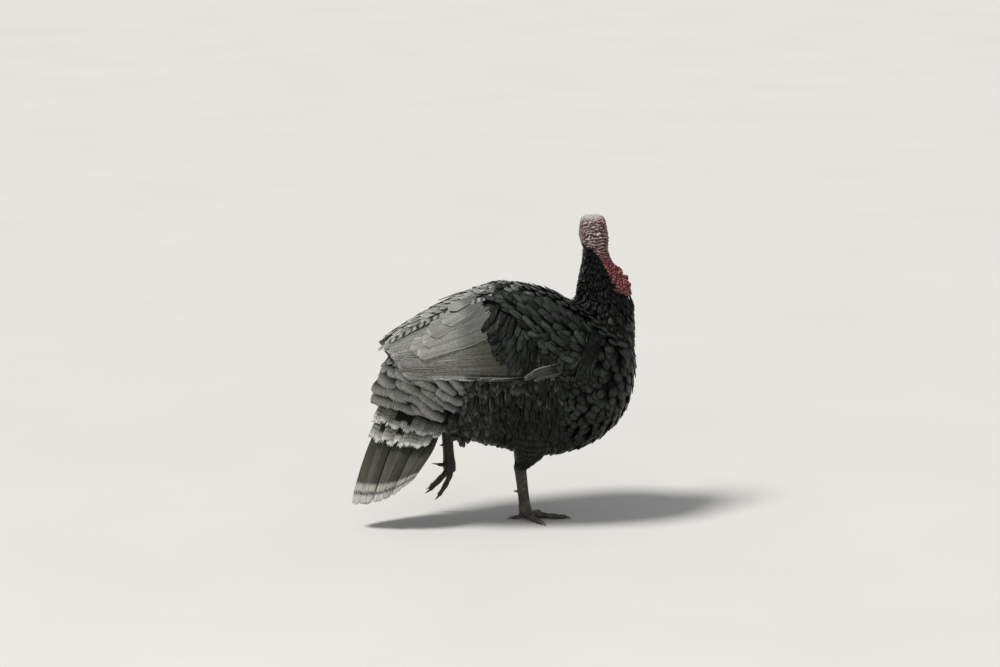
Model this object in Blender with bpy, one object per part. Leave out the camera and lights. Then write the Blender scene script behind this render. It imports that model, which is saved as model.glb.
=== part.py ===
"""A life-size tom turkey in mid-stride: it stands on its right foot, with its head turned to its left.

Metres, +Z up. The bird walks towards +X and its left side is +Y. Shapes are worked out in the
"stride frame", whose origin is on the floor under the standing foot, and one empty then moves
everything so that the model's own origin is at the middle of its box, on the floor.
Every part is a closed loft of rings or a slab, and is cut back by its grown neighbours, so that
the parts meet face to face with a thin gap.
"""
import math

import bmesh
import bpy
import numpy as np

GAP = 0.00045            # space kept between parts that meet
RING = 22                # points round a large loft

# Trunk: superellipse sections between a front and a rear pole
BREAST = (0.312, 0.450)  # x, z of the front pole
RUMP = (-0.403, 0.362)   # x, z of the rear pole
BACK = (-0.063, 0.673)   # x, z of the highest place
BELLY = (0.030, 0.188)   # x, z of the lowest place
FLANK_X, FLANK_HALF = 0.080, 0.168
TRUNK_POWER = 2.2

# Neck and head
NECK_TOP = 0.762
THROAT = (0.038, NECK_TOP)   # y, z of the corner between throat and lower jaw
NAPE_RADIUS = 0.038          # how far the head's middle line turns about that corner
HEAD_X = 0.206
FACE_END = 0.075             # y where the bill grows out
BILL_TIP = (0.114, 0.781)    # y, z
EYE = (0.0290, 0.047, 0.819)  # half spacing, y, z
EYE_RADIUS = 0.0068

# Folded wing
WING_FRONT, WING_REAR = 0.168, -0.398   # x of the shoulder and of the feather tips
WING_ROWS, WING_COLUMNS = 15, 9

# Tail: a tent of feathers, its ridge behind and its sides folded down and forward
TAIL_TIP_X = -0.476
TAIL_TIP_Z = 0.070
TAIL_SPREAD = 0.080

# Legs
HOCK_RIGHT = (-0.014, -0.035, 0.163)
FOOT_RIGHT = (0.009, 0.000, 0.026)
HOCK_LEFT = (-0.199, 0.090, 0.290)
FOOT_LEFT = (-0.190, 0.086, 0.145)
SHANK_RADIUS = 0.0154
TOE_REST = 0.62          # height of a standing toe's middle line, as a share of its root radius
CLAW_SHARE = 0.42        # claw radius at its root, as a share of the toe's

PLUMAGE = (0.035, 0.040, 0.035)
PALE = (0.42, 0.41, 0.38)
BARE_SKIN = (0.36, 0.16, 0.14)
SCALE = (0.10, 0.085, 0.065)
HORN = (0.20, 0.16, 0.11)
IRIS = (0.030, 0.016, 0.008)


# --------------------------------------------------------------------------- tools
def clear_scene():
    for thing in list(bpy.data.objects):
        bpy.data.objects.remove(thing, do_unlink=True)


def material(name, colour, roughness):
    made = bpy.data.materials.new(name)
    made.use_nodes = True
    shader = made.node_tree.nodes["Principled BSDF"]
    shader.inputs["Base Color"].default_value = (*colour, 1.0)
    shader.inputs["Roughness"].default_value = roughness
    shader.inputs["Metallic"].default_value = 0.0
    return made


def unit(vectors):
    vectors = np.asarray(vectors, float)
    return vectors / np.linalg.norm(vectors, axis=-1, keepdims=True)


def through(stations, where):
    """Smooth curve through stations: rows of (t, value...), read at the places in where.
    Each span is a cubic whose end slopes are those of its neighbouring stations."""
    stations = np.asarray(stations, float)
    t, values = stations[:, 0], stations[:, 1:]
    slopes = np.gradient(values, t, axis=0)
    where = np.clip(np.asarray(where, float), t[0], t[-1])
    span = np.clip(np.searchsorted(t, where, side="right") - 1, 0, len(t) - 2)
    width = t[span + 1] - t[span]
    s = ((where - t[span]) / width)[:, None]
    width = width[:, None]
    start, end = values[span], values[span + 1]
    rise, fall = slopes[span] * width, slopes[span + 1] * width
    return ((2 * s**3 - 3 * s**2 + 1) * start + (s**3 - 2 * s**2 + s) * rise
            + (3 * s**2 - 2 * s**3) * end + (s**3 - s**2) * fall)


def signed_power(values, power):
    return np.sign(values) * np.abs(values) ** power


def loft(rings, first=None, last=None):
    """Vertices and faces of a closed loft. rings is (count, points, 3), and each end is closed
    by a pole, where first or last gives one, or else by a flat face."""
    count, around = rings.shape[:2]
    vertices = [tuple(p) for p in rings.reshape(-1, 3)]
    faces = []
    for i in range(count - 1):
        for j in range(around):
            k = (j + 1) % around
            faces.append((i * around + j, i * around + k, (i + 1) * around + k, (i + 1) * around + j))
    for pole, row, turn in ((first, 0, 1), (last, count - 1, -1)):
        base = row * around
        if pole is None:
            faces.append(tuple(base + j for j in range(around))[::-turn])
            continue
        vertices.append(tuple(pole))
        tip = len(vertices) - 1
        for j in range(around):
            k = (j + 1) % around
            faces.append((tip, base + k, base + j)[::turn])
    return vertices, faces


def tube_rings(path, side, up, wide, tall_up, tall_down, points, power=2.0):
    """Rings across a path: half width along side, and separate half heights above and below."""
    angle = np.linspace(0.0, 2 * math.pi, points, endpoint=False)
    across = signed_power(np.cos(angle), 2.0 / power)
    height = signed_power(np.sin(angle), 2.0 / power)
    tall = np.where(height[None, :] > 0, np.asarray(tall_up)[:, None], np.asarray(tall_down)[:, None])
    return (path[:, None, :] + side[:, None, :] * (np.asarray(wide)[:, None] * across)[..., None]
            + up[:, None, :] * (tall * height[None, :])[..., None])


def limb(stations, steps, points, up, floor=None):
    """Closed limb through stations of (t, x, y, z, half width, half height) with rounded ends.
    up is roughly across the limb, and no point goes below floor."""
    t = np.linspace(stations[0][0], stations[-1][0], steps)
    read = through(stations, t)
    path, wide, tall = read[:, :3], read[:, 3], read[:, 4]
    along = unit(np.gradient(path, axis=0))
    side = unit(np.cross(along, np.asarray(up, float)))
    above = np.cross(side, along)
    rings = tube_rings(path, side, above, wide, tall, tall, points)
    first = path[0] - along[0] * tall[0] * 0.7
    last = path[-1] + along[-1] * tall[-1] * 0.7
    if floor is not None:
        rings[..., 2] = np.maximum(rings[..., 2], floor)
        first[2] = max(first[2], floor)
        last[2] = max(last[2], floor)
    return loft(rings, first, last)


def slab(outer, inner):
    """Closed slab between two grids of the same shape (rows, columns, 3), rim included."""
    rows, columns = outer.shape[:2]
    vertices = [tuple(p) for p in outer.reshape(-1, 3)] + [tuple(p) for p in inner.reshape(-1, 3)]
    under = rows * columns
    faces = []
    for i in range(rows - 1):
        for j in range(columns - 1):
            a, b = i * columns + j, i * columns + j + 1
            c, d = b + columns, a + columns
            faces.append((a, b, c, d))
            faces.append((under + d, under + c, under + b, under + a))
    rim = ([j for j in range(columns - 1)]
           + [i * columns + columns - 1 for i in range(rows - 1)]
           + [rows * columns - 1 - j for j in range(columns - 1)]
           + [(rows - 1 - i) * columns for i in range(rows - 1)])
    for here, there in zip(rim, rim[1:] + rim[:1]):
        faces.append((there, here, under + here, under + there))
    return vertices, faces


def mirrored(shape):
    """The same shape on the other side of the bird."""
    vertices, faces = shape
    return [(x, -y, z) for x, y, z in vertices], [face[::-1] for face in faces]


def put(name, shape, finish, origin):
    """One object from a shape, in triangles, smooth shaded, with its faces turned outwards."""
    mesh = bpy.data.meshes.new(name)
    mesh.from_pydata(shape[0], [], shape[1])
    mesh.validate()
    work = bmesh.new()
    work.from_mesh(mesh)
    bmesh.ops.triangulate(work, faces=work.faces)
    work.to_mesh(mesh)
    work.free()
    body = bpy.data.objects.new(name, mesh)
    bpy.context.collection.objects.link(body)
    if signed_volume(mesh) < 0:
        mesh.flip_normals()
    mesh.materials.append(finish)
    mesh.shade_smooth()
    mesh.set_sharp_from_angle(angle=math.radians(50))
    body.parent = origin
    return body


def signed_volume(mesh):
    mesh.calc_loop_triangles()
    corners = np.array([[mesh.vertices[i].co[:] for i in tri.vertices] for tri in mesh.loop_triangles])
    return float(np.einsum("ij,ij->i", corners[:, 0], np.cross(corners[:, 1], corners[:, 2])).sum())


def grown(body, reach=GAP):
    """A hidden cutter: a copy of a body's own mesh, pushed out along its normals."""
    mesh = body.data.copy()
    for vertex, normal in zip(mesh.vertices, [v.normal.copy() for v in mesh.vertices]):
        vertex.co = vertex.co + normal * reach
    cutter = bpy.data.objects.new("cutter_" + body.name, mesh)
    bpy.context.collection.objects.link(cutter)
    cutter.parent = body.parent
    cutter.hide_render = True
    cutter.display_type = "WIRE"
    return cutter


def carve(body, *neighbours):
    """Cut a body back by its grown neighbours."""
    for neighbour in neighbours:
        cut = body.modifiers.new("cut_" + neighbour.name, "BOOLEAN")
        cut.operation = "DIFFERENCE"
        cut.solver = "EXACT"
        cut.object = grown(neighbour)


# --------------------------------------------------------------------------- trunk
def arc(x, peak, front, rear, power_front, power_rear):
    """Superellipse arc along x: 1 at the peak and 0 at either end."""
    ahead = np.clip((x - peak) / (front - peak), 0, 1)
    behind = np.clip((peak - x) / (peak - rear), 0, 1)
    return np.where(x > peak, (1 - ahead**power_front) ** (1 / power_front),
                    (1 - behind**power_rear) ** (1 / power_rear))


def outline(x, extreme, power_front, power_rear):
    """Height of the back or belly line: arcs from either pole to the extreme x, z."""
    reach = arc(x, extreme[0], BREAST[0], RUMP[0], power_front, power_rear)
    pole = np.where(x > extreme[0], BREAST[1], RUMP[1])
    return pole + (extreme[1] - pole) * reach


def trunk_shape():
    """Sections across x, at a spacing that closes up towards both poles."""
    turn = np.linspace(0, math.pi, 26)[1:-1]
    x = (BREAST[0] + RUMP[0]) / 2 - (BREAST[0] - RUMP[0]) / 2 * np.cos(turn)
    axis = RUMP[1] + (BREAST[1] - RUMP[1]) * (x - RUMP[0]) / (BREAST[0] - RUMP[0])
    rise = outline(x, BACK, 1.7, 1.45) - axis
    drop = axis - outline(x, BELLY, 2.4, 1.12)
    half = FLANK_HALF * arc(x, FLANK_X, BREAST[0], RUMP[0], 2.6, 1.8)
    path = np.stack([x, 0 * x, axis], 1)
    side = np.tile([0.0, 1.0, 0.0], (len(x), 1))
    up = np.tile([0.0, 0.0, 1.0], (len(x), 1))
    rings = tube_rings(path, side, up, half, rise, drop, RING + 4, TRUNK_POWER)
    return loft(rings, (RUMP[0], 0, RUMP[1]), (BREAST[0], 0, BREAST[1]))


# --------------------------------------------------------------------------- neck and head
def neck_rings():
    """Upright sections, which flare into the breast: z, middle x, half width along x, along y."""
    stations = [(0.470, 0.198, 0.114, 0.118), (0.520, 0.206, 0.107, 0.106),
                (0.570, 0.219, 0.094, 0.086), (0.615, 0.233, 0.079, 0.067),
                (0.643, 0.231, 0.075, 0.059), (0.672, 0.227, 0.067, 0.051),
                (0.701, 0.217, 0.052, 0.044), (0.730, 0.211, 0.040, 0.038),
                (NECK_TOP, HEAD_X, 0.0345, 0.0355)]
    z = np.concatenate([np.linspace(0.47, 0.70, 9), np.linspace(0.715, NECK_TOP, 4)])
    middle, along_x, along_y = through(stations, z).T
    path = np.stack([middle, 0 * z, z], 1)
    side = np.tile([1.0, 0.0, 0.0], (len(z), 1))
    up = np.tile([0.0, -1.0, 0.0], (len(z), 1))
    return tube_rings(path, side, up, along_x, along_y, along_y, RING)


def head_rings():
    """The neck's middle line turns forward about the throat corner, then runs on to the bill."""
    turn = np.linspace(0, math.pi / 2, 8)
    bend_y = THROAT[0] - NAPE_RADIUS * np.cos(turn)
    bend_z = THROAT[1] + NAPE_RADIUS * np.sin(turn)
    share = turn / (math.pi / 2)
    wide = 0.0345 + 0.0035 * np.sin(share * math.pi * 0.62)
    dorsal = 0.0355 + 0.0130 * share**0.8
    ventral = 0.0355 - 0.0035 * share
    up = np.stack([0 * turn, -np.cos(turn), np.sin(turn)], 1)

    # Face: y, middle z, half width, height above, depth below
    stations = [(THROAT[0], 0.8000, 0.0352, 0.0485, 0.0320), (0.050, 0.7995, 0.0305, 0.0430, 0.0290),
                (0.062, 0.7985, 0.0235, 0.0330, 0.0240), (FACE_END, 0.7970, 0.0155, 0.0195, 0.0165)]
    y = np.linspace(THROAT[0], FACE_END, 6)[1:]
    middle, half, above, below = through(stations, y).T
    path = np.concatenate([np.stack([0 * turn + HEAD_X, bend_y, bend_z], 1),
                           np.stack([0 * y + HEAD_X, y, middle], 1)])
    up = np.concatenate([up, np.tile([0.0, 0.0, 1.0], (len(y), 1))])
    side = np.tile([1.0, 0.0, 0.0], (len(path), 1))
    return tube_rings(path, side, up, np.concatenate([wide, half]), np.concatenate([dorsal, above]),
                      np.concatenate([ventral, below]), RING, 2.7)


def neck_shape():
    return loft(neck_rings())


def head_shape():
    rings = head_rings()
    rings[0] += [0.0, 0.0, GAP]
    return loft(rings, None, (HEAD_X, FACE_END + 0.004, 0.797))


def ball(centre, radius, points=12):
    turn = np.linspace(0, math.pi, points // 2 + 1)[1:-1]
    path = np.stack([0 * turn, 0 * turn, -radius * np.cos(turn)], 1) + centre
    side = np.tile([1.0, 0.0, 0.0], (len(turn), 1))
    up = np.tile([0.0, 1.0, 0.0], (len(turn), 1))
    wide = radius * np.sin(turn)
    rings = tube_rings(path, side, up, wide, wide, wide, points)
    return loft(rings, np.add(centre, [0, 0, -radius]), np.add(centre, [0, 0, radius]))


def upper_bill_shape():
    """Stout at its root and hooked a little at the tip."""
    y, z = BILL_TIP
    return limb([(0, HEAD_X, 0.060, 0.8010, 0.0105, 0.0095),
                 (1, HEAD_X, FACE_END + 0.006, 0.8005, 0.0102, 0.0085),
                 (2, HEAD_X, 0.097, 0.7960, 0.0078, 0.0068),
                 (3, HEAD_X, y - 0.003, z + 0.009, 0.0042, 0.0042),
                 (3.6, HEAD_X, y, z + 0.002, 0.0016, 0.0018)], 10, 10, (0, 0, 1))


def lower_bill_shape():
    return limb([(0, HEAD_X, 0.060, 0.7872, 0.0088, 0.0055),
                 (1, HEAD_X, 0.085, 0.7868, 0.0080, 0.0050),
                 (2, HEAD_X, 0.105, 0.7835, 0.0035, 0.0028)], 7, 10, (0, 0, 1))


def snood_shape():
    """A fleshy finger from the forehead that droops over the bill on the bird's left."""
    droop = [(-0.0010, 0.0600, 0.8230, 0.0080), (-0.0020, 0.0810, 0.8220, 0.0072),
             (-0.0100, 0.0900, 0.8100, 0.0062), (-0.0155, 0.0915, 0.7900, 0.0058),
             (-0.0160, 0.0905, 0.7720, 0.0050), (-0.0150, 0.0895, 0.7600, 0.0028)]
    stations = [(t, HEAD_X + x, y, z, radius, radius) for t, (x, y, z, radius) in enumerate(droop)]
    return limb(stations, 12, 8, (1, 0, 0.2))


def wattle_shape():
    """The dewlap: a thin hanging fold from the chin down the front of the neck."""
    return limb([(0, HEAD_X, 0.070, 0.7800, 0.0045, 0.0080),
                 (1, HEAD_X + 0.001, 0.0620, 0.7620, 0.0058, 0.0150),
                 (2, HEAD_X + 0.002, 0.0520, 0.7400, 0.0070, 0.0170),
                 (3, HEAD_X + 0.004, 0.0450, 0.7180, 0.0075, 0.0140),
                 (4, HEAD_X + 0.008, 0.0410, 0.6960, 0.0060, 0.0080)], 11, 10, (0, 1, 0.3))


# --------------------------------------------------------------------------- wings and tail
def wing_shape():
    """The folded right wing: a curved slab over flank and back. Rows run from the shoulder to the
    feather tips, and columns from the lower edge up to the edge near the middle of the back."""
    s = np.linspace(0, 1, WING_ROWS)
    x = WING_FRONT - (WING_FRONT - WING_REAR) * s
    middle = 0.455
    top = 0.475 + (BACK[1] + 0.004 - 0.475) * arc(x, BACK[0], BREAST[0], -0.450, 1.7, 1.18)
    half = FLANK_HALF * arc(x, FLANK_X, BREAST[0], -0.440, 2.6, 1.9)
    low = through([(0, 0.540), (0.06, 0.487), (0.13, 0.452), (0.28, 0.437), (0.70, 0.443),
                   (0.92, 0.455), (1, 0.474)], s)[:, 0]
    share = through([(0, 0.62), (0.1, 0.80), (0.3, 0.93), (0.5, 0.968), (0.9, 0.968),
                     (1, 0.95)], s)[:, 0]
    high = middle + (top - middle) * share
    v = np.linspace(0, 1, WING_COLUMNS)
    v = 0.5 * v + 0.25 * (1 - np.cos(math.pi * v))
    z = low[:, None] + (high - low)[:, None] * v
    edge = (1 - np.abs(2 * v - 1) ** 5) * ((1 - s**9) * (1 - (1 - s) ** 12))[:, None]
    lift = (0.024 - 0.012 * s)[:, None] * edge
    rise = np.clip(np.abs(z - middle) / (top[:, None] - middle), 0, 0.98)
    y = (half[:, None] + lift + 0.002) * (1 - rise**TRUNK_POWER) ** (1 / TRUNK_POWER)
    outer = np.stack([np.broadcast_to(x[:, None], z.shape), -y, z + 0.004 * edge], -1)
    inward = unit(np.cross(np.gradient(outer, axis=0), np.gradient(outer, axis=1)))
    inward *= np.sign(inward[..., 1:2])
    thick = 0.003 + (0.030 - 0.019 * s)[:, None] * (0.25 + 0.75 * edge)
    return slab(outer, outer + inward * thick[..., None])


def tail_point(side, share, s):
    """A place on the tail's mid surface. side is -1 or 1, share runs from the ridge feather (0)
    to the outermost one (1), and s from the root (0) to the tip (1)."""
    root = np.stack([-0.385 + 0.150 * share, side * 0.062 * share**0.8, 0.345 - 0.060 * share], -1)
    tip = np.stack([TAIL_TIP_X + 0.137 * share, side * TAIL_SPREAD * share**0.75,
                    TAIL_TIP_Z + 0.068 * share**2.2], -1)
    bow = np.stack([-0.010 * (1 - share), side * 0.012 * share, 0 * share], -1)
    s = np.asarray(s)[..., None]
    return root + (tip - root) * s + bow * (4 * s * (1 - s))


def tail_shape():
    rows = 10
    across = np.linspace(-1, 1, 15)
    s = np.linspace(0, 1, rows)
    share, along = np.meshgrid(np.abs(across), s)
    side = np.sign(np.broadcast_to(across, share.shape))
    middle = tail_point(side, share, along)
    normal = unit(np.cross(np.gradient(middle, axis=0), np.gradient(middle, axis=1)))
    thick = (0.0012 + 0.0150 * (1 - along) ** 1.6) * (1 - 0.55 * share**3)
    return slab(middle + normal * thick[..., None], middle - normal * thick[..., None])


# --------------------------------------------------------------------------- legs
def between(start, end, share):
    return tuple(np.asarray(start) + (np.asarray(end) - np.asarray(start)) * share)


def right_thigh_shape():
    x, y, z = HOCK_RIGHT
    return limb([(0, 0.020, -0.090, 0.340, 0.056, 0.085), (1, 0.012, -0.090, 0.280, 0.054, 0.078),
                 (2, 0.006, -0.070, 0.222, 0.040, 0.050), (3, -0.004, -0.048, 0.182, 0.024, 0.028),
                 (4, x, y, z - 0.006, 0.0185, 0.0215)], 11, 16, (1, 0, 0))


def left_thigh_shape():
    x, y, z = HOCK_LEFT
    return limb([(0, -0.030, 0.090, 0.350, 0.050, 0.080), (1, -0.085, 0.098, 0.332, 0.046, 0.066),
                 (2, -0.135, 0.097, 0.312, 0.035, 0.044), (3, -0.176, 0.092, 0.298, 0.023, 0.027),
                 (4, x - 0.002, y, z + 0.002, 0.0185, 0.0195)], 11, 16, (0.3, 0, 1))


def shank_shape(hock, foot, up, floor=None):
    """Scaled leg bone: a knuckle at the hock, a waist, and the broad pad where the toes meet."""
    r = SHANK_RADIUS
    girth = [(-0.06, 0.84, 0.92), (0.0, 0.93, 1.12), (0.15, 0.92, 1.08), (0.5, 0.90, 1.02),
             (0.85, 0.98, 1.05), (1.0, 1.20, 1.18), (1.12, 1.16, 1.12)]
    stations = [(t, *between(hock, foot, t), r * wide, r * tall) for t, wide, tall in girth]
    return limb(stations, 14, 12, up, floor)


def toe_shape(path, radius, up, floor=None):
    """A toe over three pads, thinner towards its end; path has its root, two knuckles and end."""
    steps = 10
    t = np.linspace(0, 3, steps)
    line = through([(i, *p) for i, p in enumerate(path)], t)
    pads = 1 + 0.09 * np.cos(2 * math.pi * t)
    width = radius * (1 - 0.13 * t) * pads
    stations = [(t[i], *line[i], width[i], width[i] * 0.92) for i in range(steps)]
    return limb(stations, steps, 8, up, floor)


def claw_shape(root, tip, radius, sag, up, floor=None):
    """A short blunt horn cone, bowed by sag along up."""
    middle = np.asarray(between(root, tip, 0.55)) + unit(up) * sag
    return limb([(0, *root, radius, radius * 0.9), (1, *middle, radius * 0.75, radius * 0.7),
                 (2, *tip, radius * 0.26, radius * 0.22)], 5, 6, up, floor)


def standing_foot(make, shank):
    """Four toes spread flat on the floor, each with its claw's tip on it too."""
    # name, length, heading in degrees to the left of +X, root radius, claw length
    toes = [("middle", 0.112, -11, 0.0108, 0.016), ("inner", 0.078, 49, 0.0098, 0.016),
            ("outer", 0.082, -66, 0.0098, 0.016), ("rear", 0.038, 171, 0.0075, 0.013)]
    start = np.array([FOOT_RIGHT[0], FOOT_RIGHT[1], 0.0])
    made = []
    for name, length, heading, radius, claw_length in toes:
        ahead = np.array([math.cos(math.radians(heading)), math.sin(math.radians(heading)), 0.0])
        rest = radius * TOE_REST
        # how far along the toe, and how high, its root, two knuckles and end are
        line = [(0.004, 0.013), (length * 0.40, rest + radius * 0.3), (length * 0.72, rest),
                (length, rest * 0.72)]
        path = [start + ahead * out + [0, 0, high] for out, high in line]
        toe = make("toe_right_" + name, toe_shape(path, radius, (0, 0, 1), 0.0), "scale")
        root = path[3] - ahead * 0.006 + [0, 0, 0.0016]
        tip = start + ahead * (length + claw_length)
        tip[2] = radius * 0.04
        claw = make("claw_right_" + name,
                    claw_shape(root, tip, radius * CLAW_SHARE, 0.0014, (0, 0, 1), 0.0), "horn")
        carve(toe, shank, *[piece for piece, _ in made])
        carve(claw, toe)
        made.append((toe, claw))


def lifted_foot(make, shank):
    """The left foot has just left the floor, and its toes hang half closed."""
    start = np.asarray(FOOT_LEFT)
    # name, end of the toe from the knuckle (x, y, z), bow of the toe, radius
    hanging = [("middle", (-0.030, 0.000, -0.086), 0.012, 0.0105),
               ("inner", (-0.060, -0.026, -0.062), 0.010, 0.0095),
               ("outer", (-0.046, 0.032, -0.066), 0.010, 0.0095),
               ("rear", (-0.034, -0.004, 0.004), -0.003, 0.0075)]
    made = []
    for name, reach, bow, radius in hanging:
        reach = np.asarray(reach)
        out = np.array([1.0, 0.0, 0.25]) * bow
        path = [start + reach * 0.05, start + reach * 0.38 + out,
                start + reach * 0.70 + out * 0.8, start + reach]
        toe = make("toe_left_" + name, toe_shape(path, radius, (1, 0.12, 0.1)), "scale")
        ahead = unit(path[3] - path[2])
        tip = path[3] + ahead * 0.015 + [-0.003, 0, 0]
        claw = make("claw_left_" + name,
                    claw_shape(path[3] - ahead * 0.005, tip, radius * CLAW_SHARE, 0.002, (1, 0.12, 0.1)),
                    "horn")
        carve(toe, shank, *[piece for piece, _ in made])
        carve(claw, toe)
        made.append((toe, claw))


def spur_shape(hock, foot, inward):
    """A short blunt spur on the inner rear side of the shank."""
    root = np.asarray(between(hock, foot, 0.62)) + [-0.006, 0.004 * inward, 0]
    tip = root + [-0.019, 0.006 * inward, 0.004]
    return claw_shape(root, tip, 0.0052, 0.0015, (0, 0, 1))


# --------------------------------------------------------------------------- the bird
def build():
    clear_scene()
    finishes = {"plumage": material("plumage", PLUMAGE, 0.7), "pale": material("pale_plumage", PALE, 0.75),
                "skin": material("bare_skin", BARE_SKIN, 0.55), "scale": material("leg_scale", SCALE, 0.5),
                "horn": material("horn", HORN, 0.4), "eye": material("eye", IRIS, 0.08)}
    origin = bpy.data.objects.new("stride_frame", None)
    bpy.context.collection.objects.link(origin)
    origin.location = (-(BREAST[0] + TAIL_TIP_X) / 2, 0.0, 0.0)

    def make(name, shape, finish):
        return put(name, shape, finishes[finish].copy(), origin)

    trunk = make("trunk", trunk_shape(), "plumage")
    neck = make("neck", neck_shape(), "plumage")
    carve(neck, trunk)
    head = make("head", head_shape(), "skin")
    for side, sign in (("right", 1), ("left", -1)):
        centre = (HEAD_X + sign * (EYE[0] - EYE_RADIUS * 0.52), EYE[1], EYE[2])
        eye = make("eye_" + side, ball(centre, EYE_RADIUS), "eye")
        carve(head, eye)
    upper = make("bill_upper", upper_bill_shape(), "horn")
    lower = make("bill_lower", lower_bill_shape(), "horn")
    snood = make("snood", snood_shape(), "skin")
    wattle = make("wattle", wattle_shape(), "skin")
    carve(upper, head)
    carve(lower, head, upper)
    carve(snood, head, upper, lower)
    carve(wattle, head, neck, lower)

    wing = wing_shape()
    carve(make("wing_right", wing, "pale"), trunk)
    carve(make("wing_left", mirrored(wing), "pale"), trunk)
    carve(make("tail", tail_shape(), "pale"), trunk)

    for side, thigh_made, hock, foot, up, inward, floor, toes in (
            ("right", right_thigh_shape(), HOCK_RIGHT, FOOT_RIGHT, (1, 0, 0), 1, 0.0, standing_foot),
            ("left", left_thigh_shape(), HOCK_LEFT, FOOT_LEFT, (1, 0, 0), -1, None, lifted_foot)):
        thigh = make("thigh_" + side, thigh_made, "plumage")
        carve(thigh, trunk)
        shank = make("shank_" + side, shank_shape(hock, foot, up, floor), "scale")
        carve(shank, thigh, trunk)
        carve(make("spur_" + side, spur_shape(hock, foot, inward), "horn"), shank)
        toes(make, shank)


build()
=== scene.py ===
"""Looks of a life-size tom turkey in mid-stride: one bare skin, and feather vanes laid over it.

Metres, +Z up. Shapes are worked out in the stride frame, whose origin is on the floor under the
standing foot, with +X the way the bird walks and +Y its left; SHIFT moves them into the model's
own frame. Feathers are laid on smooth surfaces, each a function of two numbers: one runs the way
the feathers lie and the other runs across them.
"""
import math
from types import SimpleNamespace

import bpy
import numpy as np
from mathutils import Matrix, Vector


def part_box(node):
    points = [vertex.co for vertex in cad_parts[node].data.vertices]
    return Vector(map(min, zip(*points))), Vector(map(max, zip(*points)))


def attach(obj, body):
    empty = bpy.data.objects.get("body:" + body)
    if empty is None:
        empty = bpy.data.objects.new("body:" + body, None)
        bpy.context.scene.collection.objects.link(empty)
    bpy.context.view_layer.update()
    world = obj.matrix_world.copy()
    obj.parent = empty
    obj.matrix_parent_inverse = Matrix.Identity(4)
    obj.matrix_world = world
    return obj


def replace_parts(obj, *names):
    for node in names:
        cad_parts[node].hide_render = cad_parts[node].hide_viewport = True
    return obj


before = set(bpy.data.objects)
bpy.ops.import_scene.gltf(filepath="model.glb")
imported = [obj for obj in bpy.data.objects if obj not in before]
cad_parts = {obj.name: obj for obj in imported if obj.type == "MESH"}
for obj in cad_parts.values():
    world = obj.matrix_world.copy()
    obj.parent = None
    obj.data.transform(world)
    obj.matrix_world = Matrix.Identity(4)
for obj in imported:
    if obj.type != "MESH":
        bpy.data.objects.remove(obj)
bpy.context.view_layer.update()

# --------------------------------------------------------------------------- dimensions
BREAST = (0.312, 0.450)      # x, z of the trunk's front pole
RUMP = (-0.403, 0.362)       # x, z of its rear pole
BACK = (-0.063, 0.673)       # x, z of its highest place
BELLY = (0.030, 0.188)       # x, z of its lowest place
FLANK_X, FLANK_HALF = 0.080, 0.168
TRUNK_POWER = 2.2
NECK_TOP = 0.762
THROAT = (0.038, NECK_TOP)   # y, z of the corner between throat and lower jaw
NAPE_RADIUS = 0.038
HEAD_X = 0.206
FACE_END = 0.075
BILL_TIP = (0.114, 0.781)
EYE = (0.0290, 0.047, 0.819)
EYE_RADIUS = 0.0068
WING_FRONT, WING_REAR = 0.168, -0.398
WING_MIDDLE = 0.455
TAIL_TIP_X, TAIL_TIP_Z, TAIL_SPREAD = -0.476, 0.070, 0.080
HOCK = {"right": (-0.014, -0.035, 0.163), "left": (-0.199, 0.090, 0.290)}
FOOT = {"right": (0.009, 0.000, 0.026), "left": (-0.190, 0.086, 0.145)}
SHANK_RADIUS = 0.0154
COAT_DEPTH = 0.016           # from the feather tips of the trunk down to its skin
TOE_REST, CLAW_SHARE = 0.62, 0.42
SHIFT = np.array([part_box("trunk")[1][0] - BREAST[0], 0.0, 0.0])

TOES = ("middle", "inner", "outer", "rear")
SKINNED = (["trunk", "neck", "head", "snood", "wattle", "wing_left", "wing_right"]
           + [f"{part}_{side}" for part in ("thigh", "shank") for side in ("left", "right")]
           + [f"toe_{side}_{toe}" for side in ("left", "right") for toe in TOES])


# --------------------------------------------------------------------------- numbers and curves
def unit(vectors):
    """The vectors, each divided by its length."""
    vectors = np.asarray(vectors, float)
    return vectors / np.maximum(np.linalg.norm(vectors, axis=-1, keepdims=True), 1e-12)


def through(stations, where):
    """Smooth curve through rows of (t, value...), read at where, of any shape: between two
    stations it is the cubic with their values and slopes, and slopes come from neighbours."""
    stations = np.asarray(stations, float)
    t, values = stations[:, 0], stations[:, 1:]
    slopes = np.gradient(values, t, axis=0)
    where = np.clip(np.asarray(where, float), t[0], t[-1])
    span = np.clip(np.searchsorted(t, where, side="right") - 1, 0, len(t) - 2)
    width = (t[span + 1] - t[span])[..., None]
    s = (where - t[span])[..., None] / width
    start, end = values[span], values[span + 1]
    rise, fall = slopes[span] * width, slopes[span + 1] * width
    return ((2 * s**3 - 3 * s**2 + 1) * start + (s**3 - 2 * s**2 + s) * rise
            + (3 * s**2 - 2 * s**3) * end + (s**3 - s**2) * fall)


def ease(low, high, x):
    """0 below low, 1 above high, and between them three times the square of the share of the
    way less twice its cube."""
    t = np.clip((np.asarray(x, float) - low) / (high - low), 0, 1)
    return t * t * (3 - 2 * t)


def blend(first, second, share):
    """Colours or places mixed: the first plus a share, of the same leading shape, of the
    difference."""
    return np.asarray(first) + (np.asarray(second) - np.asarray(first)) * np.asarray(share)[..., None]


def srgb(red, green, blue):
    """A colour in linear light from display values of 0 to 255: a straight line in the darkest
    tones and a power of 2.4 above them."""
    value = np.array([red, green, blue]) / 255.0
    return np.where(value <= 0.04045, value / 12.92, ((value + 0.055) / 1.055) ** 2.4)


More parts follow.
